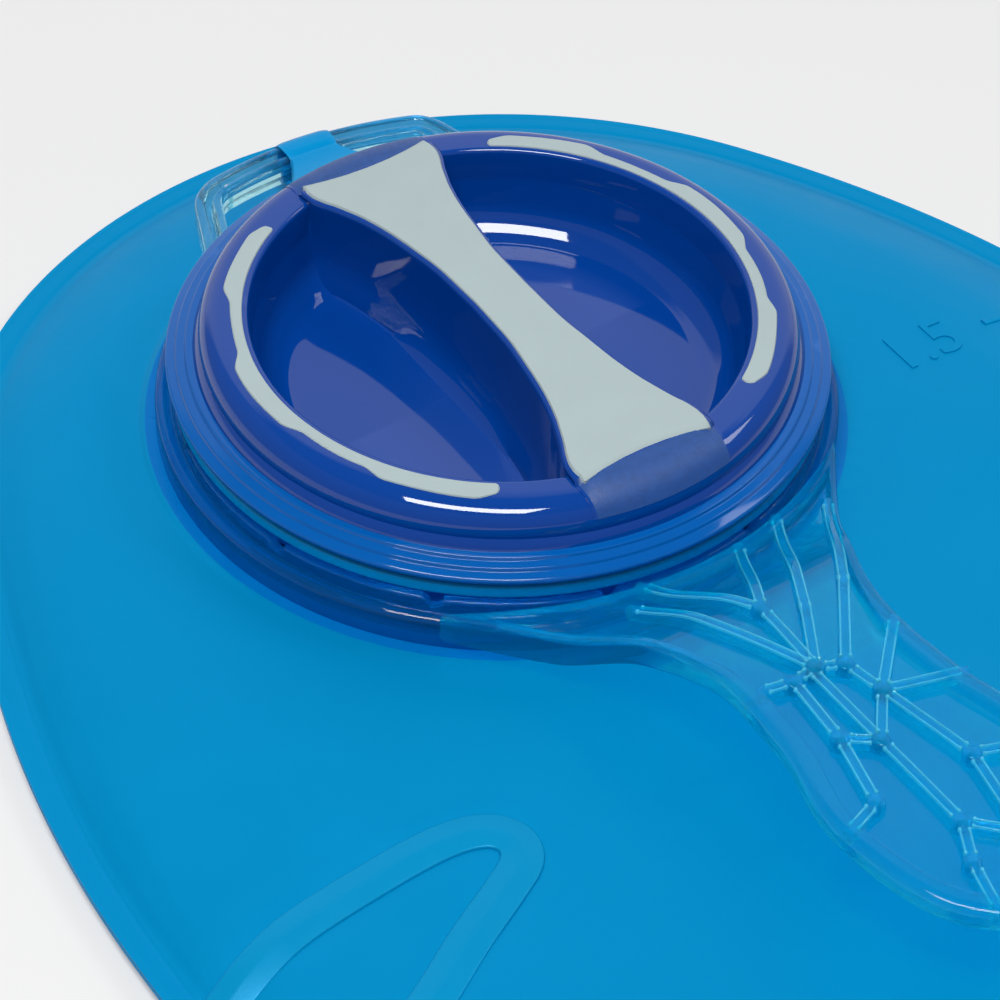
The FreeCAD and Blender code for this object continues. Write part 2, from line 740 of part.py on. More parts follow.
PIECES = (
    "front_film", "back_film", "port_flange", "port_collar", "handle", "rail",
    "cap_top", "cap_thread_ring", "cap_seal", "grip_inlay", "rim_inlay_left", "rim_inlay_right",
    "tether_ring", "tether_strap", "tether_loop",
    "outlet_flange", "outlet_body", "outlet_end_cap", "socket_seal",
    "valve_poppet", "poppet_seal", "poppet_spring", "release_latch", "latch_spring",
)

for make in (make_films, make_port, make_cap, make_thread_ring, make_handle, make_rail, make_tether,
             make_outlet_flange, make_outlet_body, make_latch, make_valve):
    make()
doc.recompute()

for item in doc.Objects:
    if {"Invalid", "Error"} & set(item.State):
        raise SystemExit(f"{item.Label} failed: {item.State}")

os.makedirs("parts", exist_ok=True)
for label in PIECES:
    shape = doc.getObjectsByLabel(label)[0].Shape
    if shape.isNull() or not shape.isValid():
        raise SystemExit(f"{label} has no valid shape")
    shape.exportStep(f"parts/{label}.step")
    print(f"{label:18s} solids {len(shape.Solids)} volume {shape.Volume:9.1f} {shape.BoundBox}")
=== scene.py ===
import math

import bmesh
import bpy
from mathutils import Matrix, Vector, noise


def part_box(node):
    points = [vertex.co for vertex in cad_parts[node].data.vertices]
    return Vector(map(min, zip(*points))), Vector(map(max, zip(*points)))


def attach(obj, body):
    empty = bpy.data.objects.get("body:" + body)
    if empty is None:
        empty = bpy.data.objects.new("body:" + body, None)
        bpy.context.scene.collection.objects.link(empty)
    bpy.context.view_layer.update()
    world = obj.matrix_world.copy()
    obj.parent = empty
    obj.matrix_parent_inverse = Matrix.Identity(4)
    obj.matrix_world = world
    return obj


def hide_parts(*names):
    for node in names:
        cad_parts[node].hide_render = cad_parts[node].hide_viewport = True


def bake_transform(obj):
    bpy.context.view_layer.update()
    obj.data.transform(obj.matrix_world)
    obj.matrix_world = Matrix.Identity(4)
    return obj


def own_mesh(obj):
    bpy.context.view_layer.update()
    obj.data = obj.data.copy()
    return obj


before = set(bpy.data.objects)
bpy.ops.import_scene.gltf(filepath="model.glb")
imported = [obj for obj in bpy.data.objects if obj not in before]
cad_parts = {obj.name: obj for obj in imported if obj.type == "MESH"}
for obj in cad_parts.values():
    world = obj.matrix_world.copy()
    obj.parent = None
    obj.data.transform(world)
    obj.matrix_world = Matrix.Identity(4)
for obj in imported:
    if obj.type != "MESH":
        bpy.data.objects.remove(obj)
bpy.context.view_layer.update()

MM = 0.001


def middle(node):
    """The centre of a CAD node's box, dropped to the base plane."""
    low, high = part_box(node)
    return Vector(((low.x + high.x) / 2, (low.y + high.y) / 2, 0))


PORT = middle("cap_seal")
OUTLET = middle("outlet_flange")
BASE = Vector((0, 0, 0))


# ---------------------------------------------------------------- materials

def group(tree, kind, **inputs):
    """A node with its inputs set by name; a socket as a value is linked."""
    node = tree.nodes.new(kind)
    for name, value in inputs.items():
        name = name.replace("_", " ")
        if isinstance(value, bpy.types.NodeSocket):
            tree.links.new(value, node.inputs[name])
        else:
            node.inputs[name].default_value = value
    return node


def noise_at(tree, scale, detail=3.0, rough=0.5):
    where = tree.nodes.new("ShaderNodeTexCoord").outputs["Object"]
    return group(tree, "ShaderNodeTexNoise", Vector=where, Scale=scale, Detail=detail,
                 Roughness=rough).outputs["Fac"]


def span(tree, value, low, high, start=0.3, end=0.7):
    node = group(tree, "ShaderNodeMapRange", Value=value)
    node.inputs["From Min"].default_value = start
    node.inputs["From Max"].default_value = end
    node.inputs["To Min"].default_value = low
    node.inputs["To Max"].default_value = high
    return node.outputs["Result"]


def blend_colours(tree, factor, first, second):
    node = tree.nodes.new("ShaderNodeMix")
    node.data_type = "RGBA"
    for name, value in (("Factor_Float", factor), ("A_Color", first), ("B_Color", second)):
        socket = next(s for s in node.inputs if s.identifier == name)
        if isinstance(value, bpy.types.NodeSocket):
            tree.links.new(value, socket)
        else:
            socket.default_value = value
    return next(s for s in node.outputs if s.identifier == "Result_Color")


def rgba(colour, scale=1.0):
    return tuple(c * scale for c in colour) + (1.0,)


def bumped(tree, layers):
    """Bump from several (noise scale, height in metres, detail) layers."""
    normal = None
    for scale, height, detail in layers:
        bump = group(tree, "ShaderNodeBump", Height=noise_at(tree, scale, detail), Strength=1.0,
                     Distance=height)
        if normal is not None:
            tree.links.new(normal, bump.inputs["Normal"])
        normal = bump.outputs["Normal"]
    return normal


def edge_wear(tree, start, end):
    """0 on flats, 1 on sharp outer edges."""
    pointy = tree.nodes.new("ShaderNodeNewGeometry").outputs["Pointiness"]
    return span(tree, pointy, 0.0, 1.0, start, end)


def plastic(name, colour, rough=(0.2, 0.3), mottle=0.12, mottle_scale=60.0, bump=((900, 0.00001, 4.0),),
            wear=0.0, specular=0.5, sheen=0.0, metallic=0.0, glow=0.0):
    """Moulded material: slight mottling, uneven gloss, fine surface texture and paler worn edges."""
    made = bpy.data.materials.new(name)
    made.use_nodes = True
    tree = made.node_tree
    shader = tree.nodes["Principled BSDF"]
    spots = noise_at(tree, mottle_scale)
    base = blend_colours(tree, spots, rgba(colour, 1 - mottle), rgba(colour, 1 + mottle))
    if wear:
        pale = tuple(min(1.0, c * 1.25 + 0.05) for c in colour)
        amount = tree.nodes.new("ShaderNodeMath")
        amount.operation = "MULTIPLY"
        tree.links.new(edge_wear(tree, 0.52, 0.60), amount.inputs[0])
        amount.inputs[1].default_value = wear
        base = blend_colours(tree, amount.outputs[0], base, rgba(pale))
    tree.links.new(base, shader.inputs["Base Color"])
    tree.links.new(span(tree, noise_at(tree, mottle_scale * 3), *rough), shader.inputs["Roughness"])
    tree.links.new(bumped(tree, bump), shader.inputs["Normal"])
    shader.inputs["Specular IOR Level"].default_value = specular
    shader.inputs["Sheen Weight"].default_value = sheen
    shader.inputs["Metallic"].default_value = metallic
    if glow:
        tree.links.new(base, shader.inputs["Emission Color"])
        shader.inputs["Emission Strength"].default_value = glow
    return made


def see_through(made, share, tint):
    """Lets a share of the light straight through a material, tinted."""
    tree = made.node_tree
    shader = tree.nodes["Principled BSDF"]
    clear = group(tree, "ShaderNodeBsdfTransparent", Color=rgba(tint))
    mix = group(tree, "ShaderNodeMixShader", Fac=share)
    tree.links.new(shader.outputs[0], mix.inputs[1])
    tree.links.new(clear.outputs[0], mix.inputs[2])
    tree.links.new(mix.outputs[0], tree.nodes["Material Output"].inputs["Surface"])
    return made


def clear_plastic(name, tint, body, glassy, solid, rough=0.02, ior=1.33):
    """Clear moulding: part refraction, part straight-through tint, part milky body, with faint flow marks."""
    made = plastic(name, body, rough=(rough, rough + 0.05), mottle=0.05, mottle_scale=120.0,
                   bump=((90, 0.00001, 1.0), (1500, 0.0000006, 3.0)), specular=0.25)
    tree = made.node_tree
    milky = tree.nodes["Principled BSDF"]
    normal = milky.inputs["Normal"].links[0].from_socket
    glass = group(tree, "ShaderNodeBsdfPrincipled", IOR=ior, Transmission_Weight=1.0, Normal=normal,
                  Roughness=rough)
    haze = blend_colours(tree, noise_at(tree, 120.0), rgba(tint, 0.95), rgba(tint, 1.0))
    tree.links.new(haze, glass.inputs["Base Color"])
    clear = group(tree, "ShaderNodeBsdfTransparent", Color=rgba(tint))
    path = tree.nodes.new("ShaderNodeLightPath")
    shadow = group(tree, "ShaderNodeBsdfTransparent", Color=rgba(tuple(c ** 0.5 for c in tint)))
    lighting = tree.nodes.new("ShaderNodeMath")
    lighting.operation = "MAXIMUM"
    tree.links.new(path.outputs["Is Shadow Ray"], lighting.inputs[0])
    tree.links.new(path.outputs["Is Diffuse Ray"], lighting.inputs[1])
    ways = ((solid, clear, milky), (glassy, None, glass), (lighting.outputs[0], None, shadow))
    built = None
    for share, first, second in ways:
        mix = group(tree, "ShaderNodeMixShader", Fac=share)
        tree.links.new(built if first is None else first.outputs[0], mix.inputs[1])
        tree.links.new(second.outputs[0], mix.inputs[2])
        built = mix.outputs[0]
    tree.links.new(built, tree.nodes["Material Output"].inputs["Surface"])
    return made


FILM = see_through(
    plastic("film", (0.0, 0.283, 0.59), rough=(0.34, 0.46), mottle=0.05, mottle_scale=22.0,
            bump=((2200, 0.000012, 3.0), (140, 0.00006, 2.0)), specular=0.05, metallic=0.2),
    0.2, (0.0, 0.6, 0.9))
WELD = see_through(
    plastic("weld_ring", (0.0, 0.165, 0.52), rough=(0.25, 0.38), mottle=0.10, mottle_scale=90.0,
            bump=((1800, 0.00002, 3.0),), specular=0.08, metallic=0.1),
    0.1, (0.0, 0.4, 0.9))
CAP = plastic("cap_plastic", (0.0, 0.042, 0.262), rough=(0.035, 0.06), mottle=0.05, mottle_scale=40.0,
              bump=((1300, 0.0000006, 3.0), (60, 0.000012, 2.0)), wear=0.2, specular=0.5)
FACET = plastic("cap_matte", (0.006, 0.055, 0.235), rough=(0.42, 0.6), mottle=0.25, mottle_scale=900.0,
                bump=((2600, 0.00003, 2.0),), wear=0.15, specular=0.55)
RING = plastic("ring_plastic", (0.0, 0.09, 0.36), rough=(0.05, 0.09), mottle=0.06, mottle_scale=50.0,
               bump=((1300, 0.000001, 3.0),), wear=0.25, specular=0.3)
GRIP = plastic("soft_grip", (0.34, 0.415, 0.425), rough=(0.6, 0.72), mottle=0.035, mottle_scale=160.0,
               bump=((3200, 0.000012, 3.0), (420, 0.00001, 2.0)), specular=0.2, sheen=0.04)
CLEAR_BLUE = clear_plastic("clear_blue", (0.10, 0.88, 0.97), (0.0, 0.36, 0.62), 0.5, 0.2, ior=1.33)
# painted highlight: the ribs use a lighter copy of the clear blue so that they show as light lines
RIB_BLUE_LIGHTENED = clear_plastic("clear_ribs_painted_highlight", (0.12, 0.90, 1.0), (0.0, 0.38, 0.65), 0.4, 0.25, ior=1.36)
# painted highlight: a paler, whiter copy of the clear blue, so that the thin beads along each rib's edges
# show as light lines
RIB_EDGE_HIGHLIGHT = clear_plastic("clear_rib_edge_highlight", (0.50, 0.96, 1.0), (0.12, 0.60, 0.82), 0.4, 0.45, ior=1.45)
# painted shade: a darker copy of the clear blue for the collar, which sits in the shade under the cap's brim
COLLAR_SHADED = clear_plastic("collar_blue_shaded", (0.08, 0.70, 0.90), (0.0, 0.17, 0.47), 0.5, 0.35, ior=1.33)
CLEAR = clear_plastic("clear", (0.55, 0.92, 0.98), (0.05, 0.42, 0.66), 0.85, 0.2, ior=1.45)
FILM_PALE = plastic("film_weld_bead", (0.0, 0.235, 0.475), rough=(0.3, 0.4), mottle=0.05, mottle_scale=60.0,
                    bump=((2200, 0.000012, 3.0),), specular=0.1, metallic=0.1)
TETHER = plastic("tether_plastic", (0.0, 0.24, 0.54), rough=(0.22, 0.32), mottle=0.07, mottle_scale=70.0,
                 bump=((1500, 0.00001, 3.0),), wear=0.2, specular=0.1)
SEAL = plastic("seal_rubber", (0.03, 0.035, 0.04), rough=(0.5, 0.7), mottle=0.2, mottle_scale=300.0,
               bump=((2500, 0.00002, 3.0),), specular=0.3)
FITTING = plastic("fitting_plastic", (0.0, 0.045, 0.33), rough=(0.2, 0.32), mottle=0.06, mottle_scale=60.0,
                  bump=((1700, 0.00001, 4.0),), wear=0.35, specular=0.4)
VALVE = plastic("valve_plastic", (0.55, 0.60, 0.62), rough=(0.3, 0.42), mottle=0.05, mottle_scale=200.0,
                bump=((1800, 0.00001, 3.0),))
LATCH = plastic("latch_plastic", (0.40, 0.47, 0.47), rough=(0.4, 0.55), mottle=0.05, mottle_scale=180.0,
                bump=((2600, 0.000015, 3.0),), wear=0.3)
STEEL = plastic("spring_steel", (0.55, 0.55, 0.56), rough=(0.2, 0.35), mottle=0.1, mottle_scale=500.0,
                bump=((3000, 0.000005, 2.0),), metallic=1.0)


# ---------------------------------------------------------------- mesh helpers

def add(name, data):
    """A new object of the scene."""
    made = bpy.data.objects.new(name, data)
    bpy.context.scene.collection.objects.link(made)
    return made


def dress(mesh, material):
    mesh.materials.clear()
    mesh.materials.append(material)
    return mesh


def direction(azimuth, rise):
    """The way from the object to a place at an azimuth (0 is the front, -Y) and a height in degrees."""
    a, e = math.radians(azimuth), math.radians(rise)
    return Vector((math.sin(a) * math.cos(e), -math.cos(a) * math.cos(e), math.sin(e)))


def make(name, points, faces, place, material, crease=35.0):
    """A mesh object from points in millimetres about place."""
    mesh = bpy.data.meshes.new(name)
    mesh.from_pydata([place + Vector(p) * MM for p in points], [], faces)
    work = bmesh.new()
    work.from_mesh(mesh)
    bmesh.ops.remove_doubles(work, verts=work.verts, dist=1e-7)
    bmesh.ops.dissolve_degenerate(work, edges=work.edges, dist=1e-8)
    bmesh.ops.recalc_face_normals(work, faces=work.faces)
    work.to_mesh(mesh)
    work.free()
    mesh.shade_smooth()
    mesh.set_sharp_from_angle(angle=math.radians(crease))
    return add(name, dress(mesh, material))


def settle(piece, body, slot, *nodes):
    """Rides on a body and hides any CAD nodes given, which the piece stands for; the slot is not used."""
    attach(piece, body)
    if nodes:
        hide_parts(*nodes)
    return piece


def rounded(corners, steps=5, closed=True):
    """A polygon of (x, y, fillet radius) with its corners rounded."""
    out = []
    count = len(corners)
    for index, (x, y, radius) in enumerate(corners):
        here = Vector((x, y))
        if radius <= 0 or (not closed and index in (0, count - 1)):
            out.append((x, y))
            continue
        back = Vector(corners[index - 1][:2]) - here
        ahead = Vector(corners[(index + 1) % count][:2]) - here
        half = back.angle(ahead) / 2
        if half > 1.55 or half < 0.02:
            out.append((x, y))
            continue
        cut = min(radius / math.tan(half), 0.49 * back.length, 0.49 * ahead.length)
        fillet = cut * math.tan(half)
        centre = here + (back.normalized() + ahead.normalized()).normalized() * fillet / math.sin(half)
        first = here + back.normalized() * cut - centre
        last = here + ahead.normalized() * cut - centre
        turn = first.angle(last)
        for step in range(steps + 1):
            t = step / steps
            spot = centre + (first * math.sin((1 - t) * turn) + last * math.sin(t * turn)) / math.sin(turn)
            out.append((spot.x, spot.y))
    return out


def grid_faces(rows, columns, loop_rows=False, loop_columns=False):
    """Quads over a grid of points stored row by row."""
    faces = []
    for row in range(rows if loop_rows else rows - 1):
        for column in range(columns if loop_columns else columns - 1):
            a, b = row, (row + 1) % rows
            c, d = column, (column + 1) % columns
            faces.append((a * columns + c, a * columns + d, b * columns + d, b * columns + c))
    return faces


def lathe(name, profile, place, material, steps=288, change=None, crease=30.0):
    """Turns a closed profile of (radius, height) about +Z; change(r, z, degrees) may move a point."""
    points = []
    for step in range(steps):
        turn = 2 * math.pi * step / steps
        for radius, height in profile:
            if change:
                radius, height = change(radius, height, math.degrees(turn))
            points.append((radius * math.cos(turn), radius * math.sin(turn), height))
    return make(name, points, grid_faces(steps, len(profile), True, True), place, material, crease)


def swept(path, section, twist=None, shift=0):
    """Points and faces of a closed section of (across, up) run along a path, its ends closed."""
    points = []
    last = len(path) - 1
    for index, spot in enumerate(path):
        ahead = (Vector(path[min(index + 1, last)]) - Vector(path[max(index - 1, 0)])).normalized()
        side = Vector((0, 0, 1)).cross(ahead)
        side = side.normalized() if side.length > 1e-6 else Vector((1, 0, 0))
        up = ahead.cross(side)
        shape = twist(index / last, section) if twist else section
        for across, rise in shape:
            points.append(tuple(Vector(spot) + side * across + up * rise))
    count = len(section)
    faces = grid_faces(len(path), count, False, True)
    faces += [tuple(range(count))[::-1], tuple(last * count + i for i in range(count))]
    return points, [tuple(shift + v for v in f) for f in faces]


def sweep(name, path, section, place, material, crease=40.0, twist=None):
    return make(name, *swept(path, section, twist), place, material, crease)


def turned(profile, place, steps, shift=0):
    """Points and faces of a closed profile of (radius, height) turned about a vertical line."""
    turns = [2 * math.pi * i / steps for i in range(steps)]
    points = [(place[0] + r * math.cos(turn), place[1] + r * math.sin(turn), place[2] + z)
              for turn in turns for r, z in profile]
    return points, [tuple(shift + v for v in f) for f in grid_faces(steps, len(profile), True, True)]


def shell(name, top, drop, rows, columns, place, material, crease=40.0):
    """A closed sheet: a grid of top points, the same grid lowered by drop(point), and a wall round it."""
    points = top + [(x, y, drop(x, y, z)) for x, y, z in top]
    faces = grid_faces(rows, columns)
    shift = len(top)
    faces += [tuple(shift + v for v in f[::-1]) for f in faces]
    rim = list(range(columns)) + [r * columns + columns - 1 for r in range(1, rows)]
    rim += [(rows - 1) * columns + c for c in range(columns - 2, -1, -1)]
    rim += [r * columns for r in range(rows - 2, 0, -1)]
    faces += [(a, b, shift + b, shift + a) for a, b in zip(rim, rim[1:] + rim[:1])]
    return make(name, points, faces, place, material, crease)


def smooth_through(knots):
    """A smooth function through (x, y) knots, flat beyond them, with no overshoot."""
    knots = sorted(knots)
    xs, ys = [k[0] for k in knots], [k[1] for k in knots]
    rises = [(ys[i + 1] - ys[i]) / (xs[i + 1] - xs[i]) for i in range(len(xs) - 1)]
    slopes = [rises[0]]
    for before, after in zip(rises, rises[1:]):
        slopes.append(0.0 if before * after <= 0 else 2 * before * after / (before + after))
    slopes.append(rises[-1])

    def value(x):
        if x <= xs[0]:
            return ys[0]
        if x >= xs[-1]:
            return ys[-1]
        i = next(n for n in range(len(xs) - 1) if x <= xs[n + 1])
        wide = xs[i + 1] - xs[i]
        t = (x - xs[i]) / wide
        return ((2 * t ** 3 - 3 * t ** 2 + 1) * ys[i] + (t ** 3 - 2 * t ** 2 + t) * wide * slopes[i]
                + (3 * t ** 2 - 2 * t ** 3) * ys[i + 1] + (t ** 3 - t ** 2) * wide * slopes[i + 1])

    return value


def catmull(points, steps):
    """A smooth line through points, in two or three dimensions."""
    spots = [Vector(p) for p in points]
    spots = [2 * spots[0] - spots[1]] + spots + [2 * spots[-1] - spots[-2]]
    out = []
    for a, b, c, d in zip(spots, spots[1:], spots[2:], spots[3:]):
        for step in range(steps):
            t = step / steps
            out.append(0.5 * (2 * b + (c - a) * t + (2 * a - 5 * b + 4 * c - d) * t ** 2
                              + (3 * b - a - 3 * c + d) * t ** 3))
    out.append(spots[-2])
    return out


def polar(radius, degrees, height=0.0):
    turn = math.radians(degrees)
    return (radius * math.cos(turn), radius * math.sin(turn), height)


def step_between(low, high, x):
    t = min(1.0, max(0.0, (x - low) / (high - low)))
    return t * t * (3 - 2 * t)


def round_off(radius, edge):
    """How far a rounded edge drops at a distance edge inside it."""
    return radius - math.sqrt(max(0.0, radius ** 2 - max(0.0, radius - edge) ** 2))


# ---------------------------------------------------------------- bag

HALF, TOP, WIDEST, FLANK, CORNER = 98.5, 169.5, 32.5, 185.0, 47.0
INWARD, RISE = FLANK - HALF, TOP - WIDEST
CROWN = (FLANK ** 2 - INWARD ** 2 - RISE ** 2) / (2 * (FLANK - RISE))
CROWN_Y = TOP - CROWN
LEAN = math.atan2(CROWN_Y - WIDEST, INWARD)


def slant(x, y):
    """The bag lies a little further over on its right: how far each half is stretched at y."""
    lower = step_between(168, 85, y)
    return 1 - 0.050 * lower if x < 0 else 1 + 0.018 * lower


def outline(count):
    """Points evenly round the bag's outline, anticlockwise from its right side."""
    def arc(x, y, radius, start, end, each=200):
        return [Vector((x + radius * math.cos(start + (end - start) * i / each),
                        y + radius * math.sin(start + (end - start) * i / each))) for i in range(each)]

    half_turn = math.pi
    line = arc(-INWARD, WIDEST, FLANK, 0, LEAN)
    line += arc(0, CROWN_Y, CROWN, LEAN, half_turn - LEAN)
    line += arc(INWARD, WIDEST, FLANK, half_turn - LEAN, half_turn)
    line += arc(CORNER - HALF, CORNER - TOP, CORNER, half_turn, 1.5 * half_turn)
    line += arc(HALF - CORNER, CORNER - TOP, CORNER, 1.5 * half_turn, 2 * half_turn)
    line.append(line[0])
    lengths = [0.0]
    for a, b in zip(line, line[1:]):
        lengths.append(lengths[-1] + (b - a).length)
    out, index = [], 0
    for step in range(count):
        want = lengths[-1] * step / count
        while lengths[index + 1] < want:
            index += 1
        t = (want - lengths[index]) / (lengths[index + 1] - lengths[index])
        spot = line[index].lerp(line[index + 1], t)
        out.append(Vector((spot.x * slant(spot.x, spot.y), spot.y)))
    return out


def inset_of(x, y):
    """How far a point lies inside the bag's outline."""
    x = abs(x / slant(x, y))
    if y > WIDEST:
        if math.atan2(y - CROWN_Y, x) > LEAN:
            return CROWN - math.hypot(x, y - CROWN_Y)
        return FLANK - math.hypot(x + INWARD, y - WIDEST)
    if x > HALF - CORNER and y < CORNER - TOP:
        return CORNER - math.hypot(x - HALF + CORNER, y - CORNER + TOP)
    return min(HALF - x, y + TOP)


WELD_OUT = 51.3      # radius of the port's weld ring
FLANGE_TOP = 9.4     # height of both weld flanges under the film
FRONT_THICK, BACK_THICK = 0.5, 0.6
MAX_RISE = 12.5      # the highest a fold may stand
FRONT = smooth_through([(3.4, 3.0), (4.0, 3.05), (6.5, 4.15), (10, 5.6), (18, 7.7), (30, 9.0),
                        (44, FLANGE_TOP), (80, FLANGE_TOP)])
HOOK = catmull([(-91, -73), (-78, -68.6), (-68, -67.0), (-58, -66.3), (-50, -66.5), (-45.3, -68.2),
                (-43.4, -71.4), (-44.8, -74.8), (-49.5, -77.8), (-58, -82.5), (-68, -88.5),
                (-79, -93.5), (-90.5, -98)], 6)


def waves(x, y):
    """Slack in the film: long folds running out from the collar, and a gentle unevenness."""
    dx, dy = x - PORT.x / MM, y - PORT.y / MM
    distance = math.hypot(dx, dy)
    turn = math.atan2(dy, dx)
    fan = step_between(54, 90, distance) * (1 - 0.55 * step_between(120, 230, distance))
    folds = 0.55 * math.sin(5 * turn + 0.9 + distance * 0.012)
    folds += 0.4 * math.sin(9 * turn - 0.6 + distance * 0.02)
    slack = noise.noise(Vector((x * 0.013, y * 0.013, 1.7))) * 2.0
    slack += noise.noise(Vector((x * 0.034, y * 0.034, 5.1))) * 0.7
    return fan * (folds + slack)


def film_top(x, y):
    """Height of the front film's outer face."""
    inset = inset_of(x, y)
    height = FRONT(inset)
    dx, dy = x - PORT.x / MM, y - PORT.y / MM
    distance = math.hypot(dx, dy)
    free = step_between(5, 34, inset) * (1 - step_between(46, 18, math.hypot(x, y - OUTLET.y / MM)))
    height += free * waves(x, y)
    seam = math.exp(-((inset - 3.5) / 0.28) ** 2) * 0.16 + math.exp(-((inset - 1.1) / 0.35) ** 2) * 0.06
    height -= seam
    over_flange = 1 - step_between(51.2, 52.4, distance)
    height = height * (1 - over_flange) + FLANGE_TOP * over_flange
    puckers = noise.noise(Vector((dx * 0.5, dy * 0.5, 2.0))) * 0.05
    height += puckers * (1 - step_between(50, 58, distance))
    outlet = 1 - step_between(18.2, 19.6, math.hypot(x, y - OUTLET.y / MM))
    height = height * (1 - outlet) + FLANGE_TOP * outlet
    near = min(math.hypot(dx - p.x, dy - p.y) for p in HOOK)
    height -= 0.3 * math.exp(-(max(0.0, near - 2.4) / 1.6) ** 2)
    return min(height, MAX_RISE)


def film(name, rings, upper, thickness, material):
    """A closed film: an outer face at upper(x, y) and an inner face thickness below it."""
    count = len(rings[0])
    rows = [[(p.x, p.y, upper(p.x, p.y)) for p in ring] for ring in rings]
    rows += [[(x, y, z - thickness) for x, y, z in row] for row in rows[::-1]]
    points = [p for row in rows for p in row]
    return make(name, points, grid_faces(len(rows), count, True, True), BASE, material, 50.0)


def make_bag():
    centre = Vector((PORT.x, PORT.y)) / MM
    rim = outline(480)
    rows = []
    count = 104
    band = [0.0, 0.45, 0.8, 1.1, 1.45, 1.9, 2.5, 3.0, 3.25, 3.5, 3.75, 4.1]
    hole = [53.6, 52.8, 52.3, 51.9, 51.6, WELD_OUT, 51.0, 50.0, 48.0, 46.0]
    for spot in rim:
        away = spot - centre
        out = away.normalized()
        free = away.length - 54.0 - band[-1]
        inwards = band + [band[-1] + free * (i / count) ** 1.2 for i in range(1, count + 1)]
        rows.append([spot - out * d for d in inwards] + [centre + out * r for r in hole])
    rings = [list(ring) for ring in zip(*rows)]
    front = film("bag_front_film", rings, film_top, FRONT_THICK, FILM)
    front.data.materials.append(WELD)
    hub = PORT.to_2d()
    for face in front.data.polygons:
        if (face.center.to_2d() - hub).length < WELD_OUT * MM:
            face.material_index = 1
    settle(front, "root", "film", "front_film")

    tray = smooth_through([(3.9, 2.4), (6, 1.75), (10, 1.05), (18, 0.6), (60, 0.6)])

    def lower(x, y):
        inset = inset_of(x, y)
        lift = 0.12 * (1 + noise.noise(Vector((x * 0.02, y * 0.02, 9.0)))) * step_between(20, 60, inset)
        return tray(inset) + lift

    middle_of_bag = Vector((0, 0))
    rings = []
    for level in [i / 70 for i in range(70)] + [0.997]:
        rings.append([p.lerp(middle_of_bag, level) for p in rim])
    back = film("bag_back_film", rings, lower, BACK_THICK, FILM)
    settle(back, "root", "film", "back_film")

    bead = rounded([(-3.0, -0.5, 0), (3.0, -0.5, 0), (2.9, 0.35, 0.35), (0, 0.62, 3), (-2.9, 0.35, 0.35)], 5)
    path = [(p.x + centre.x, p.y + centre.y) for p in HOOK]
    band = sweep("bag_baffle_weld", [(x, y, film_top(x, y) + 0.12) for x, y in path], bead, BASE, FILM_PALE)
    settle(band, "root", "film")
    ring = rounded([(12.0, 9.0, 0), (12.0, 9.62, 0.1), (18.4, 9.62, 0.5), (19.6, 8.9, 0.6), (19.9, 8.2, 0),
                    (18.0, 8.2, 0)], 4)
    disc = lathe("outlet_weld_band", ring, OUTLET, WELD, 192)
    settle(disc, "root", "weld_ring")
    make_scale()


NUMERAL_X, BAR_X = 62.0, 82.0
TOP_MARK, MARK_GAP = 71.0, 19.6


def make_scale():
    """Raised fill marks up the right side: short bars with plain numbers, as on a measuring jug."""
    for number, (label, y) in enumerate((("1.5", TOP_MARK), ("1.0", 12.2), ("0.5", -46.6))):
        text = bpy.data.curves.new(f"mark_{number}", "FONT")
        text.body = label
        text.size = 11.0
        text.align_x, text.align_y = "CENTER", "CENTER"
        holder = bpy.data.objects.new(f"mark_{number}", text)
        flat = bpy.data.meshes.new_from_object(holder)
        bpy.data.objects.remove(holder)
        cut = bmesh.new()
        cut.from_mesh(flat)
        bmesh.ops.triangulate(cut, faces=cut.faces)
        for _ in range(2):
            bmesh.ops.subdivide_edges(cut, edges=[e for e in cut.edges if e.calc_length() > 2.0], cuts=1)
        bmesh.ops.remove_doubles(cut, verts=cut.verts, dist=0.01)
        bmesh.ops.solidify(cut, geom=list(cut.faces), thickness=0.7)
        spots = [(NUMERAL_X + v.co.x, y + v.co.y, v.co.z) for v in cut.verts]
        points = [(px, py, film_top(px, py) + 0.2 + pz) for px, py, pz in spots]
        faces = [[v.index for v in f.verts] for f in cut.faces]
        cut.free()
        figure = make(f"fill_mark_{number + 1}", points, faces, BASE, FILM, 30.0)
        settle(figure, "root", "film")
    section = rounded([(-0.7, -0.5, 0), (0.7, -0.5, 0), (0.6, 0.3, 0.25), (-0.6, 0.3, 0.25)], 3)
    for number in range(7):
        y = TOP_MARK - MARK_GAP * number
        long = 8.5 if number % 3 == 0 else 5.0
        across = [BAR_X - long * i / 12 for i in range(13)]
        path = [(x, y, film_top(x, y)) for x in across]
        bar = sweep(f"fill_bar_{number + 1}", path, section, BASE, FILM)
        settle(bar, "root", "film")


# ---------------------------------------------------------------- collar and flange

THREAD_LEAD = 24     # rise in one whole turn; the cap_turn coupling has the same lead


def thread(name, inner, outer, mid, arc, place, material, body, slot):
    """Four equal ramps of the coarse screw thread, fading in and out at their ends."""
    # the sweep's side vector points inwards, so the root is on the side away from the crest
    root = (outer - inner) / 2
    section = [(root, -1.0), (-0.55 * root, -0.85), (-root, -0.45), (-root, 0.45), (-0.55 * root, 0.85),
               (root, 1.0)]

    def taper(t, shape):
        grow = min(1.0, 8 * t, 8 * (1 - t)) ** 0.5
        return [(root + (a - root) * grow, u * (0.5 + 0.5 * grow)) for a, u in shape]

    radius = (inner + outer) / 2
    turns = [arc * (i / 24 - 0.5) for i in range(25)]
    for start in range(4):
        path = [polar(radius, start * 90 + turn, mid + THREAD_LEAD * turn / 360) for turn in turns]
        piece = sweep(f"{name}_{start + 1}", path, section, place, material, twist=taper)
        settle(piece, body, slot)


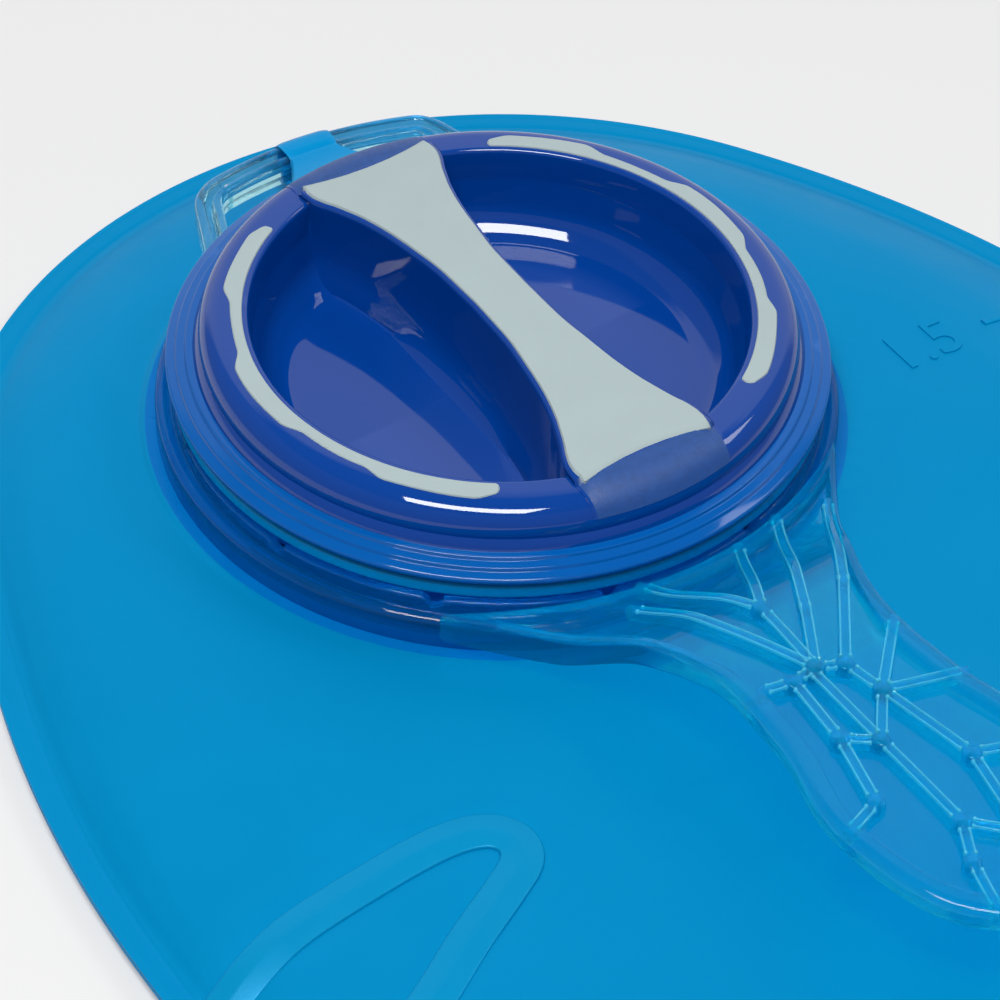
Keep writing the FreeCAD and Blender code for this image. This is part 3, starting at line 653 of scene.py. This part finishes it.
def make_collar():
    profile = rounded([
        (37.3, 8.9, 0), (45.4, 8.9, 0), (45.4, 9.5, 0), (49.7, 9.5, 0.2), (49.7, 13.9, 1.1),
        (48.5, 14.5, 0.5), (47.75, 13.6, 0.4), (47.2, 13.6, 0.3), (47.2, 16.1, 0.5), (45.7, 16.1, 0.5),
        (45.7, 11.4, 0.8), (39.7, 11.4, 0.9), (39.7, 23.3, 0.6), (37.3, 23.3, 0.6)], 5)

    def notch(radius, height, degrees):
        if height > 13.8 and 45.2 < radius < 47.4:
            away = abs((degrees - 16.2 + 15) % 30 - 15)
            height -= (height - 13.8) * 0.75 * (1 - step_between(0.7, 1.5, away))
        return radius, height

    # the collar and neck thread use the darker, painted-shade copy of the clear blue
    collar = lathe("port_collar_ring", profile, PORT, COLLAR_SHADED, 480, notch)
    settle(collar, "root", "clear_blue", "port_collar")
    thread("neck_thread", 39.4, 41.3, 18.5, 70, PORT, COLLAR_SHADED, "root", "clear_blue")


# ---------------------------------------------------------------- cap

RIM_MID, RIM_LEVEL, RIM_ROUND = 39.4, 25.05, 3.75     # the centre and radius of the rim's round shoulder
CAP_OUT = 42.95


def cap_profile():
    bowl = rounded([
        (0.02, 14.3, 0), (30.3, 14.3, 3), (34.6, 17.0, 3), (36.4, 21.6, 2), (36.9, 26.4, 0.3),
        (40.6, 26.4, 0.3), (40.6, 22.6, 0), (44.2, 22.6, 0.3), (43.5, 24.0, 0.8)], 4, False)
    turns = [math.radians(a) for a in range(-8, 91, 6)]
    shoulder = [(RIM_MID + RIM_ROUND * math.cos(a), RIM_LEVEL + RIM_ROUND * math.sin(a)) for a in turns]
    top = rounded([(39.2, 28.82, 0), (35.95, 29.0, 0.75), (35.35, 24.0, 6), (33.9, 18.6, 5.5),
                   (30.6, 16.0, 4.5), (24, 16.0, 0), (0.02, 16.0, 0)], 7, False)
    return bowl + shoulder + top


BAR_EDGE = smooth_through([(0, 4.9), (8, 5.1), (15, 5.95), (20, 6.75), (25, 8.0), (28, 9.1), (30, 9.9),
                           (32, 10.85), (34, 11.45), (36.5, 11.6), (40, 11.5), (44, 11.4)])
CROWN_TOP = smooth_through([(0, 31.6), (12, 31.4), (24, 30.82), (36.5, 29.8)])


INLAY_END = 36.2


def bar_top(x, y, half):
    """Height of the grip bar: crowned along its length, then an end that rolls down onto the rim."""
    reach = abs(y)
    if reach <= INLAY_END:
        return CROWN_TOP(reach)
    radius = math.hypot(x, y)
    roll = RIM_LEVEL + 4.75 * math.sqrt(max(0.0, 1 - (max(0.0, radius - 36.6) / 6.6) ** 2))
    rim = RIM_LEVEL + RIM_ROUND * math.sqrt(max(0.0, 1 - (max(0.0, radius - RIM_MID) / RIM_ROUND) ** 2))
    fade = step_between(0.0, 2.6, half - abs(x))
    return min(CROWN_TOP(reach), rim + 0.12 + (max(roll, rim) - rim) * fade)


def make_cap():
    cap = lathe("cap_bowl", cap_profile(), PORT, CAP, 320)
    settle(cap, "cap", "cap_blue", "cap_top")

    right = [0.2, 0.45, 0.7, 0.86, 0.93, 0.965, 0.985, 1]
    across = [-t for t in right[::-1]] + [0] + right
    ends = [INLAY_END + 1.0 * i for i in range(1, 14)]
    stations = [-y for y in ends[::-1]] + [INLAY_END * (i / 70 - 1) for i in range(141)] + ends
    rows = []
    for station in stations:
        beyond = (abs(station) - INLAY_END) / 13.0

        def along(x):
            """Past the inlay the rows bend from straight across to the round edge of the rim."""
            if beyond <= 1e-6:
                return station
            outer = math.sqrt(CAP_OUT ** 2 - x * x)
            return math.copysign(INLAY_END + (outer - INLAY_END) * beyond, station)

        half = BAR_EDGE(abs(station)) if beyond <= 1e-6 else BAR_EDGE(INLAY_END + 5.3 * beyond)
        root = max(8.2, half + 2.2)
        inside = abs(station) < 33.5
        row = []
        for t in across:
            x = half * t
            y = along(x)
            edge = half - abs(x)
            soften = round_off(0.7, edge)
            row.append((x, y, bar_top(x, y, half) - (soften if beyond <= 1e-6 else 0.0)))
        y = along(half)
        high = bar_top(half, y, half)
        if inside:
            side = [(half, high - 0.9), (half + 0.02, high - 2.2), (half + 0.1, high - 5.0),
                    (half + 0.35, 21.5), (half + 0.95, 18.8), (half + 1.9, 17.1), (root, 16.15),
                    (root + 0.6, 15.9)]
        else:
            low = 26.6 if beyond <= 1e-6 else high - 1.1
            side = [(half, high + (low - high) * i / 8) for i in range(1, 9)]
        left = [(-x, y, z) for x, z in side]
        rows.append(left[::-1] + row + [(x, y, z) for x, z in side])
    columns = len(rows[0])
    points = [p for row in rows for p in row]
    faces = grid_faces(len(rows), columns)
    bottom = len(points)
    for row in rows:
        points.append((row[0][0], row[0][1], row[0][2] - 0.4))
        points.append((row[-1][0], row[-1][1], row[-1][2] - 0.4))
    for i in range(len(rows) - 1):
        a, b = bottom + 2 * i, bottom + 2 * i + 2
        faces += [(i * columns, (i + 1) * columns, b, a), (a, b, b + 1, a + 1),
                  ((i + 1) * columns - 1, a + 1, b + 1, (i + 2) * columns - 1)]
    last = (len(rows) - 1) * columns
    faces.append(tuple(range(columns)) + (bottom + 1, bottom))
    faces.append(tuple(range(last, last + columns)) + (len(points) - 1, len(points) - 2))
    bar = make("cap_grip_bar", points, faces, PORT, CAP, 48.0)
    bar.data.materials.append(FACET)
    for face in bar.data.polygons:
        spot = (face.center - PORT) / MM
        if abs(spot.y) > INLAY_END and face.normal.z > 0.3 and abs(spot.x) < BAR_EDGE(abs(spot.y)) - 0.3:
            face.material_index = 1
    settle(bar, "cap", "cap_blue")

    make_inlay()
    for side, node in ((1, "rim_inlay_right"), (-1, "rim_inlay_left")):
        make_rim_inlay(side, node)


def make_inlay():
    """The soft grey insert along the grip bar, set in flush and standing a little proud."""
    rows, count = [], 150
    across = [-1, -0.97, -0.92, -0.84, -0.65, -0.35, 0, 0.35, 0.65, 0.84, 0.92, 0.97, 1]
    for i in range(count + 1):
        s = -1 + 2 * i / count
        row = []
        for t in across:
            x_end = 11.0 * t
            reach = 36.0 + 1.0 * (x_end / 10) ** 2
            y = s * reach
            half = BAR_EDGE(abs(y)) - 0.62
            if abs(s) > 0.93:
                half -= 0.55 * ((abs(s) - 0.93) / 0.07) ** 2
            x = half * t
            edge = min(half * (1 - abs(t)), (1 - abs(s)) * reach)
            soften = round_off(0.4, edge)
            row.append((x, y, CROWN_TOP(min(INLAY_END, abs(y))) + 0.33 - soften))
        rows.append(row)
    inlay = shell("grip_insert", [p for row in rows for p in row], lambda x, y, z: z - 0.8, count + 1,
                  len(across), PORT, GRIP)
    settle(inlay, "cap", "grey_grip", "grip_inlay")


def make_rim_inlay(side, node):
    """A grey arc along the rim whose outer edge swells into three soft lobes."""
    rows = []
    start, end = -57.0, 60.0
    count = 234
    lobes = ((36, 57), (-9, 14), (-54, -31))
    across = [0, 0.06, 0.16, 0.32, 0.5, 0.68, 0.84, 0.94, 1]
    for i in range(count + 1):
        angle = start + (end - start) * i / count
        away = min(angle - start, end - angle) * math.radians(1) * 37.8
        cap_end = round_off(0.9, away)
        low, high = 36.75 + cap_end, 38.55 - cap_end
        for a, b in lobes:
            high += 1.2 * step_between(a - 3.6, a + 2.4, angle) * (1 - step_between(b - 2.4, b + 3.6, angle))
        high += 0.12 * math.sin(angle * 0.21)
        row = []
        for t in across:
            radius = low + (high - low) * t
            edge = min((high - low) * min(t, 1 - t), away)
            soften = round_off(0.35, edge)
            out = max(0.0, radius - RIM_MID)
            rise = 29.0 - 0.18 * step_between(36, RIM_MID, radius)
            rise -= RIM_ROUND - math.sqrt(RIM_ROUND ** 2 - out * out)
            turn = math.radians(angle)
            row.append((side * radius * math.cos(turn), radius * math.sin(turn), rise + 0.22 - soften))
        rows.append(row)
    arc = shell(f"rim_insert_{'right' if side > 0 else 'left'}", [p for row in rows for p in row],
                lambda x, y, z: z - 0.7, count + 1, len(across), PORT, GRIP)
    settle(arc, "cap", "grey_grip", node)


def make_thread_ring():
    profile = rounded([
        (42.0, 12.6, 0.3), (44.4, 12.6, 0.5), (44.4, 15.6, 0.2), (45.05, 16.0, 0.2), (45.05, 16.7, 0.2),
        (44.4, 17.0, 0.2), (44.4, 20.3, 0.4), (47.9, 20.45, 0.35), (48.0, 21.3, 0.45), (46.6, 21.75, 0.2),
        (46.4, 22.25, 0.25), (45.2, 22.45, 0.2), (45.05, 22.95, 0.3), (44.0, 23.0, 0), (42.0, 22.6, 0)], 4)
    ring = lathe("cap_brim_ring", profile, PORT, RING, 320)
    settle(ring, "cap", "ring_blue", "cap_thread_ring")
    thread("cap_thread", 42.2, 40.2, 15.9, 40, PORT, RING, "cap", "ring_blue")


# ---------------------------------------------------------------- handle

TOP_LINE = smooth_through([(36, 16.0), (50, 18.2), (62, 23.6), (78, 25.7), (104, 26.6), (132, 26.2)])
THICKNESS = smooth_through([(36, 5.6), (50, 5.6), (62, 4.7), (78, 3.8), (132, 3.8)])
EDGE_KNOTS = [(33.5, -37), (20.5, -56), (14.2, -72), (14.4, -88), (17.2, -104), (12.6, -121.5), (0, -129.4)]
# the nodes of the handle's cells, and the ribs between them or out to the border
SPOTS = {
    "a": (-0.4, -64.9), "b": (-1.8, -78.8), "c": (1.9, -80.4), "d": (3.0, -86.9), "e": (-2.8, -94.3),
    "g": (-7.1, -91.1), "h": (-9.9, -102.6), "f": (-2.6, -110.9), "i": (5.7, -102.3), "j": (-5.7, -117.0),
    "k": (3.0, -116.5), "m": (-5.8, -79.4),
}
RIBS = (
    ((-7.4, -48.6), "a"), ((7.5, -49.6), "a"), ("a", "b"), ((-11.5, -52.5), "b"), ((15.6, -47.2), (4.5, -68)),
    ((4.5, -68), "b"), ((23.5, -48.5), (12.2, -66.3)), ((12.2, -66.3), "c"), ("b", "c"), ("c", "d"),
    ("d", (12.0, -77.5)), ("d", (13.5, -89.8)), ("d", "e"), ("d", "i"), ("e", (-2.6, -80.0)), ("e", "g"),
    ("g", "m"), ("b", "m"), ("m", (-9.6, -78.7)), ("g", "h"), ("h", (-15, -104.6)), ("e", "f"), ("f", "j"),
    ("f", "k"), ("i", "k"), ("i", (16, -105.5)), ("j", (-7.5, -124)), ("k", (6, -125)),
)
RECESS = 1.75        # depth of the cells below the handle's border


def rib_ends(rib):
    """A rib's two ends; an end in the border runs a little further, to be buried in it."""
    spots = [Vector(SPOTS[end] if isinstance(end, str) else end) for end in rib]
    for own, other in ((0, 1), (1, 0)):
        if not isinstance(rib[own], str):
            spots[own] += (spots[own] - spots[other]).normalized() * 1.3
    return [tuple(spot) for spot in spots]


def make_handle():
    edge = catmull([tuple(p) for p in EDGE_KNOTS] + [(-12.6, -121.5)], 60)
    edge = edge[:60 * (len(EDGE_KNOTS) - 1) + 1]
    lengths = [0.0]
    for a, b in zip(edge, edge[1:]):
        lengths.append(lengths[-1] + (b - a).length)
    count = 240
    across = [math.sin(math.pi / 2 * (-1 + 2 * i / 150)) for i in range(151)]
    top, index, inset = [], 0, {}
    for step in range(count + 1):
        s = step / count
        want = lengths[-1] * s
        while index < len(edge) - 2 and lengths[index + 1] < want:
            index += 1
        t = (want - lengths[index]) / (lengths[index + 1] - lengths[index])
        spot = edge[index].lerp(edge[index + 1], min(1.0, t))
        half = max(spot.x, 0.02)
        centre = -48.9 - 80.5 * s
        for u in across:
            x = half * u
            y = centre + (spot.y - centre) * u * u
            from_edge = min(half * (1 - abs(u)) * 0.93, 129.4 + y + 0.3 * abs(x) if s > 0.8 else 99)
            cell = min(step_between(2.7, 3.5, from_edge), step_between(0.8, 1.6, math.hypot(x, y) - 49.6))
            brow = round_off(1.3, from_edge)
            top.append((x, y, TOP_LINE(-y) - brow - RECESS * cell))
            inset[x, y] = from_edge

    def under(x, y, z):
        brow = round_off(1.3, inset[x, y])
        return max(TOP_LINE(-y) - THICKNESS(-y), 9.9) + brow

    handle = shell("carry_handle", top, under, count + 1, len(across), PORT, CLEAR_BLUE, 60.0)
    settle(handle, "root", "clear_blue", "handle")

    points, faces = [], []
    section = rounded([(-0.85, -0.3, 0), (0.85, -0.3, 0), (0.65, 1.5, 0.3), (-0.65, 1.5, 0.3)], 4)

    def floor_at(y):
        return TOP_LINE(-y) - RECESS

    for a, b in (rib_ends(rib) for rib in RIBS):
        parts = max(6, int(math.dist(a, b) / 0.8))
        line = [Vector(a).lerp(Vector(b), i / parts) for i in range(parts + 1)]
        more, sides = swept([(p.x, p.y, floor_at(p.y)) for p in line], section, None, len(points))
        points += more
        faces += sides
    boss = rounded([(0.02, -0.3, 0), (1.35, -0.3, 0), (1.25, 1.6, 0.35), (0.02, 1.6, 0)], 4)
    for x, y in SPOTS.values():
        more, sides = turned(boss, (x, y, floor_at(y)), 24, len(points))
        points += more
        faces += sides
    # the ribs are drawn in the lighter, painted-highlight copy of the clear blue
    ribs = make("handle_ribs", points, faces, PORT, RIB_BLUE_LIGHTENED, 60.0)
    settle(ribs, "root", "clear_blue")

    # thin beads along both edges of each rib, with dots at their ends, in the pale copy of the clear blue:
    # painted highlight lines
    points, faces = [], []
    bead = rounded([(-0.14, -0.3, 0), (0.14, -0.3, 0), (0.14, 0.1, 0.12), (-0.14, 0.1, 0.12)], 4)
    dot = rounded([(0.02, -0.3, 0), (0.3, -0.3, 0), (0.28, 0.16, 0.15), (0.02, 0.2, 0)], 4)
    for a, b in (rib_ends(rib) for rib in RIBS):
        along = (Vector(b) - Vector(a)).normalized()
        first, last = Vector(a) + along * 1.5, Vector(b) - along * 1.5
        for side in (-0.62, 0.62):
            shift = Vector((-along.y, along.x)) * side
            parts = max(4, int((last - first).length / 0.8))
            line = [first.lerp(last, i / parts) + shift for i in range(parts + 1)]
            line = [(p.x, p.y, floor_at(p.y) + 1.5) for p in line]
            more, sides = swept(line, bead, None, len(points))
            points += more
            faces += sides
            for spot in (line[0], line[-1]):
                more, sides = turned(dot, spot, 12, len(points))
                points += more
                faces += sides
    edges = make("handle_rib_edge_highlights", points, faces, PORT, RIB_EDGE_HIGHLIGHT, 60.0)
    settle(edges, "root", "clear_blue")


# ---------------------------------------------------------------- rail and tether

RAIL_TURN, RAIL_OUT, RAIL_RISE = 86.5, 59.7, 14.4     # degrees, radius and height of the rail's middle


def make_rail():
    corners = [polar(49.0, RAIL_TURN - 28.5)]
    corners += [polar(RAIL_OUT, RAIL_TURN - 18.5 + 37.0 * i / 24) for i in range(25)]
    corners += [polar(49.0, RAIL_TURN + 28.5)]
    path = []
    for index, spot in enumerate(corners):
        if index in (1, len(corners) - 2):
            here = Vector(spot)
            back = Vector(corners[index - 1]) - here
            ahead = Vector(corners[index + 1]) - here
            first = here + back.normalized() * 3.6
            last = here + ahead.normalized() * min(3.2, ahead.length * 0.98)
            for i in range(9):
                t = i / 8
                path.append(first * (1 - t) ** 2 + here * 2 * t * (1 - t) + last * t ** 2)
        elif index in (2, len(corners) - 3):
            continue
        else:
            path.append(Vector(spot))
    dense = []
    for a, b in zip(path, path[1:]):
        parts = max(1, int((b - a).length / 0.7))
        dense += [a.lerp(b, i / parts) for i in range(parts)]
    dense.append(path[-1])
    path = [(p.x, p.y, RAIL_RISE) for p in dense]
    section = rounded([(-2.1, -2.2, 0.7), (2.1, -2.2, 0.7), (2.1, 2.15, 0.75), (0.55, 2.2, 0.55),
                       (0.42, -0.4, 0.3), (-0.42, -0.4, 0.3), (-0.55, 2.2, 0.55), (-2.1, 2.15, 0.75)], 4)

    def close_slit(t, shape):
        shut = 1 - min(step_between(0.04, 0.1, t), step_between(0.04, 0.1, 1 - t))
        return [(a, u + (2.0 - u) * shut if abs(a) < 0.62 and u > -1 else u) for a, u in shape]

    rail = sweep("hanging_rail", path, section, PORT, CLEAR, 45.0, close_slit)
    settle(rail, "root", "clear", "rail")


def make_tether():
    rows = []
    section = rounded([(-3.5, -3.6, 1.4), (3.5, -3.6, 1.4), (3.5, 2.8, 3.0), (-3.5, 2.8, 3.0)], 8)
    inner = rounded([(-2.3, -2.5, 0.5), (2.3, -2.5, 0.5), (2.3, 2.4, 1.0), (-2.3, 2.4, 1.0)], 8)
    turns = [RAIL_TURN - 4.1 + 8.1 * i / 14 for i in range(15)]
    for shape in (section, inner):
        for number, turn in enumerate(turns):
            end = max(0.0, abs(number - 7) - 5.6) * 0.16 if shape is section else 0.0
            for a, u in shape:
                waist = 1 - end * 0.28
                rows.append(polar(RAIL_OUT + a * waist, turn, RAIL_RISE + u * waist))
    count = len(section)
    faces = grid_faces(len(turns), count, False, True)
    shift = len(turns) * count
    faces += [tuple(shift + v for v in f[::-1]) for f in faces]
    for row in (0, len(turns) - 1):
        for c in range(count):
            d = (c + 1) % count
            faces.append((row * count + c, row * count + d, shift + row * count + d, shift + row * count + c))
    loop = make("tether_sleeve", rows, faces, PORT, TETHER, 45.0)
    settle(loop, "tether_loop", "tether", "tether_loop")

    points = []
    across = [-1, -0.94, -0.8, -0.5, 0, 0.5, 0.8, 0.94, 1]
    count = 40
    for i in range(count + 1):
        t = i / count
        radius = 57.5 - 10.2 * t
        half = 4.1 + 8.2 * t ** 1.25
        for u in across:
            edge = (1 - abs(u)) * half * math.radians(1) * radius
            soften = round_off(0.4, edge)
            rise = 17.1 + 1.15 * step_between(0.1, 0.9, t)
            points.append(polar(radius, RAIL_TURN - 0.7 * t + half * u, rise - soften))
    strap = shell("tether_strap_bend", points, lambda x, y, z: z - 1.1, count + 1, len(across), PORT, TETHER,
                  45.0)
    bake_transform(strap)
    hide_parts("tether_strap")

    profile = rounded([(44.75, 17.35, 0.4), (47.35, 17.35, 0.5), (47.35, 19.55, 0.6), (44.75, 19.55, 0.5)], 4)
    ring = lathe("tether_collar", profile, PORT, TETHER, 240)
    settle(ring, "tether_ring", "tether", "tether_ring")


# ---------------------------------------------------------------- outlet

def softened(name, node, width, body, slot, material):
    """A copy of a CAD node with its sharp edges rounded over."""
    mesh = dress(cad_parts[node].data.copy(), material)
    work = bmesh.new()
    work.from_mesh(mesh)
    bmesh.ops.remove_doubles(work, verts=work.verts, dist=2e-6)
    bmesh.ops.dissolve_limit(work, angle_limit=math.radians(1.0), verts=work.verts, edges=work.edges)
    work.normal_update()
    sharp = [e for e in work.edges if e.is_manifold and e.calc_face_angle(0) > math.radians(38)]
    bmesh.ops.bevel(work, geom=sharp, offset=width * MM, offset_type="OFFSET", segments=3, profile=0.5,
                    affect="EDGES", clamp_overlap=True)
    bmesh.ops.recalc_face_normals(work, faces=work.faces)
    work.to_mesh(mesh)
    work.free()
    mesh.shade_smooth()
    mesh.set_sharp_from_angle(angle=math.radians(40))
    return settle(add(name, mesh), body, slot, node)


def make_outlet():
    softened("outlet_housing", "outlet_body", 0.45, "root", "fitting", FITTING)
    softened("outlet_plug_end", "outlet_end_cap", 0.5, "root", "fitting", FITTING)
    softened("release_button", "release_latch", 0.4, "latch", "latch_grey", LATCH)


def make_springs():
    """Copies of the valve and button springs' coils, riding on the fixed root."""
    for name, node, joint in (("valve_coil", "poppet_spring", "poppet_open"),
                              ("button_coil", "latch_spring", "latch_press")):
        coil = add(name, dress(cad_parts[node].data.copy(), STEEL))
        settle(coil, "root", "spring_steel", node)
        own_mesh(coil)


# ---------------------------------------------------------------- stage

# name, azimuth, elevation, distance, width, height, watts
LAMPS = (("key", -48, 70, 1.2, 0.62, 0.34, 14.5), ("side", 75, 48, 1.5, 0.35, 0.5, 3.0))


def make_room():
    """A studio: a pale wall behind the object, dimmer in front, and a dark ceiling."""
    world = bpy.data.worlds.new("studio")
    bpy.context.scene.world = world
    world.use_nodes = True
    tree = world.node_tree
    look = tree.nodes.new("ShaderNodeTexCoord").outputs["Generated"]
    parts = group(tree, "ShaderNodeSeparateXYZ", Vector=look)
    level = group(tree, "ShaderNodeCombineXYZ", X=parts.outputs["X"], Y=parts.outputs["Y"])
    heading = group(tree, "ShaderNodeVectorMath", Vector=level.outputs[0])
    heading.operation = "NORMALIZE"
    behind = group(tree, "ShaderNodeVectorMath", Vector=heading.outputs[0])
    behind.operation = "DOT_PRODUCT"
    behind.inputs[1].default_value = (0.5635, 0.8261, 0.0)
    wall = span(tree, behind.outputs["Value"], 0.26, 0.85, 0.66, 0.74)
    ceiling = span(tree, parts.outputs["Z"], 0.0, 1.0, 0.74, 0.80)
    shade = group(tree, "ShaderNodeMix", A=wall, B=0.14, Factor=ceiling)
    seen = group(tree, "ShaderNodeMix", A=shade.outputs[0], B=0.84,
                 Factor=tree.nodes.new("ShaderNodeLightPath").outputs["Is Camera Ray"])
    tree.nodes["Background"].inputs["Color"].default_value = (1.0, 1.0, 1.0, 1.0)
    tree.links.new(seen.outputs[0], tree.nodes["Background"].inputs["Strength"])


def make_stage():
    floor = bpy.data.meshes.new("floor")
    wide = 6.0
    corners = [(-wide, -wide, 0), (wide, -wide, 0), (wide, wide, 0), (-wide, wide, 0)]
    floor.from_pydata(corners, [], [(0, 1, 2, 3)])
    ground = add("floor", floor)
    ground.location.z = -0.0002
    pale = plastic("floor_paper", (0.46, 0.46, 0.46), rough=(0.75, 0.85), mottle=0.01, mottle_scale=8.0,
                   bump=((400, 0.00002, 2.0),), specular=0.1, glow=0.62)
    floor.materials.append(pale)
    make_room()

    aim = PORT + Vector((0, 0, 0.02))
    for name, azimuth, rise, away, wide, tall, watts in LAMPS:
        lamp = bpy.data.lights.new(name, "AREA")
        lamp.shape = "RECTANGLE"
        lamp.size, lamp.size_y = wide, tall
        lamp.energy = watts
        back = direction(azimuth, rise)
        holder = add(name, lamp)
        holder.location = aim + back * away
        holder.rotation_mode = "QUATERNION"
        holder.rotation_quaternion = back.to_track_quat("Z", "Y")
    bpy.context.scene.view_settings.view_transform = "Standard"


# degrees, millimetres of lens on a 36 mm sensor, and metres from the cap's rim
CAMERA_AZIMUTH, CAMERA_RISE, CAMERA_LENS, CAMERA_DISTANCE = -34.3, 40.682, 141.785, 0.5628
CAMERA_TURNS = (("up", -0.0894), ("right", -2.8072), ("ahead", -1.8361))
CAP_TOP = 0.029


def make_camera():
    """Looks down over the cap from the front left, aimed a little past it towards the handle."""
    back = direction(CAMERA_AZIMUTH, CAMERA_RISE)
    ahead = -back
    right = ahead.cross(Vector((0, 0, 1))).normalized()
    up = right.cross(ahead)
    for axis, degrees in CAMERA_TURNS:
        turn = Matrix.Rotation(math.radians(degrees), 3, {"up": up, "right": right, "ahead": ahead}[axis])
        ahead, right, up = turn @ ahead, turn @ right, turn @ up
    data = bpy.data.cameras.new("camera")
    data.lens = CAMERA_LENS
    data.sensor_width = 36.0
    data.clip_start, data.clip_end = 0.05, 20.0
    eye = add("camera", data)
    place = PORT + Vector((0, 0, CAP_TOP)) + back * CAMERA_DISTANCE
    turn = Matrix((right, up, -ahead)).transposed().to_4x4()
    eye.matrix_world = Matrix.Translation(place) @ turn
    bpy.context.scene.camera = eye


make_camera()
make_stage()
make_bag()
make_collar()
make_cap()
make_thread_ring()
make_handle()
make_rail()
make_tether()
make_outlet()
make_springs()
for node, material in (("port_flange", WELD), ("outlet_flange", WELD), ("cap_seal", SEAL),
                       ("socket_seal", SEAL), ("poppet_seal", SEAL), ("valve_poppet", VALVE)):
    dress(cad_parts[node].data, material)
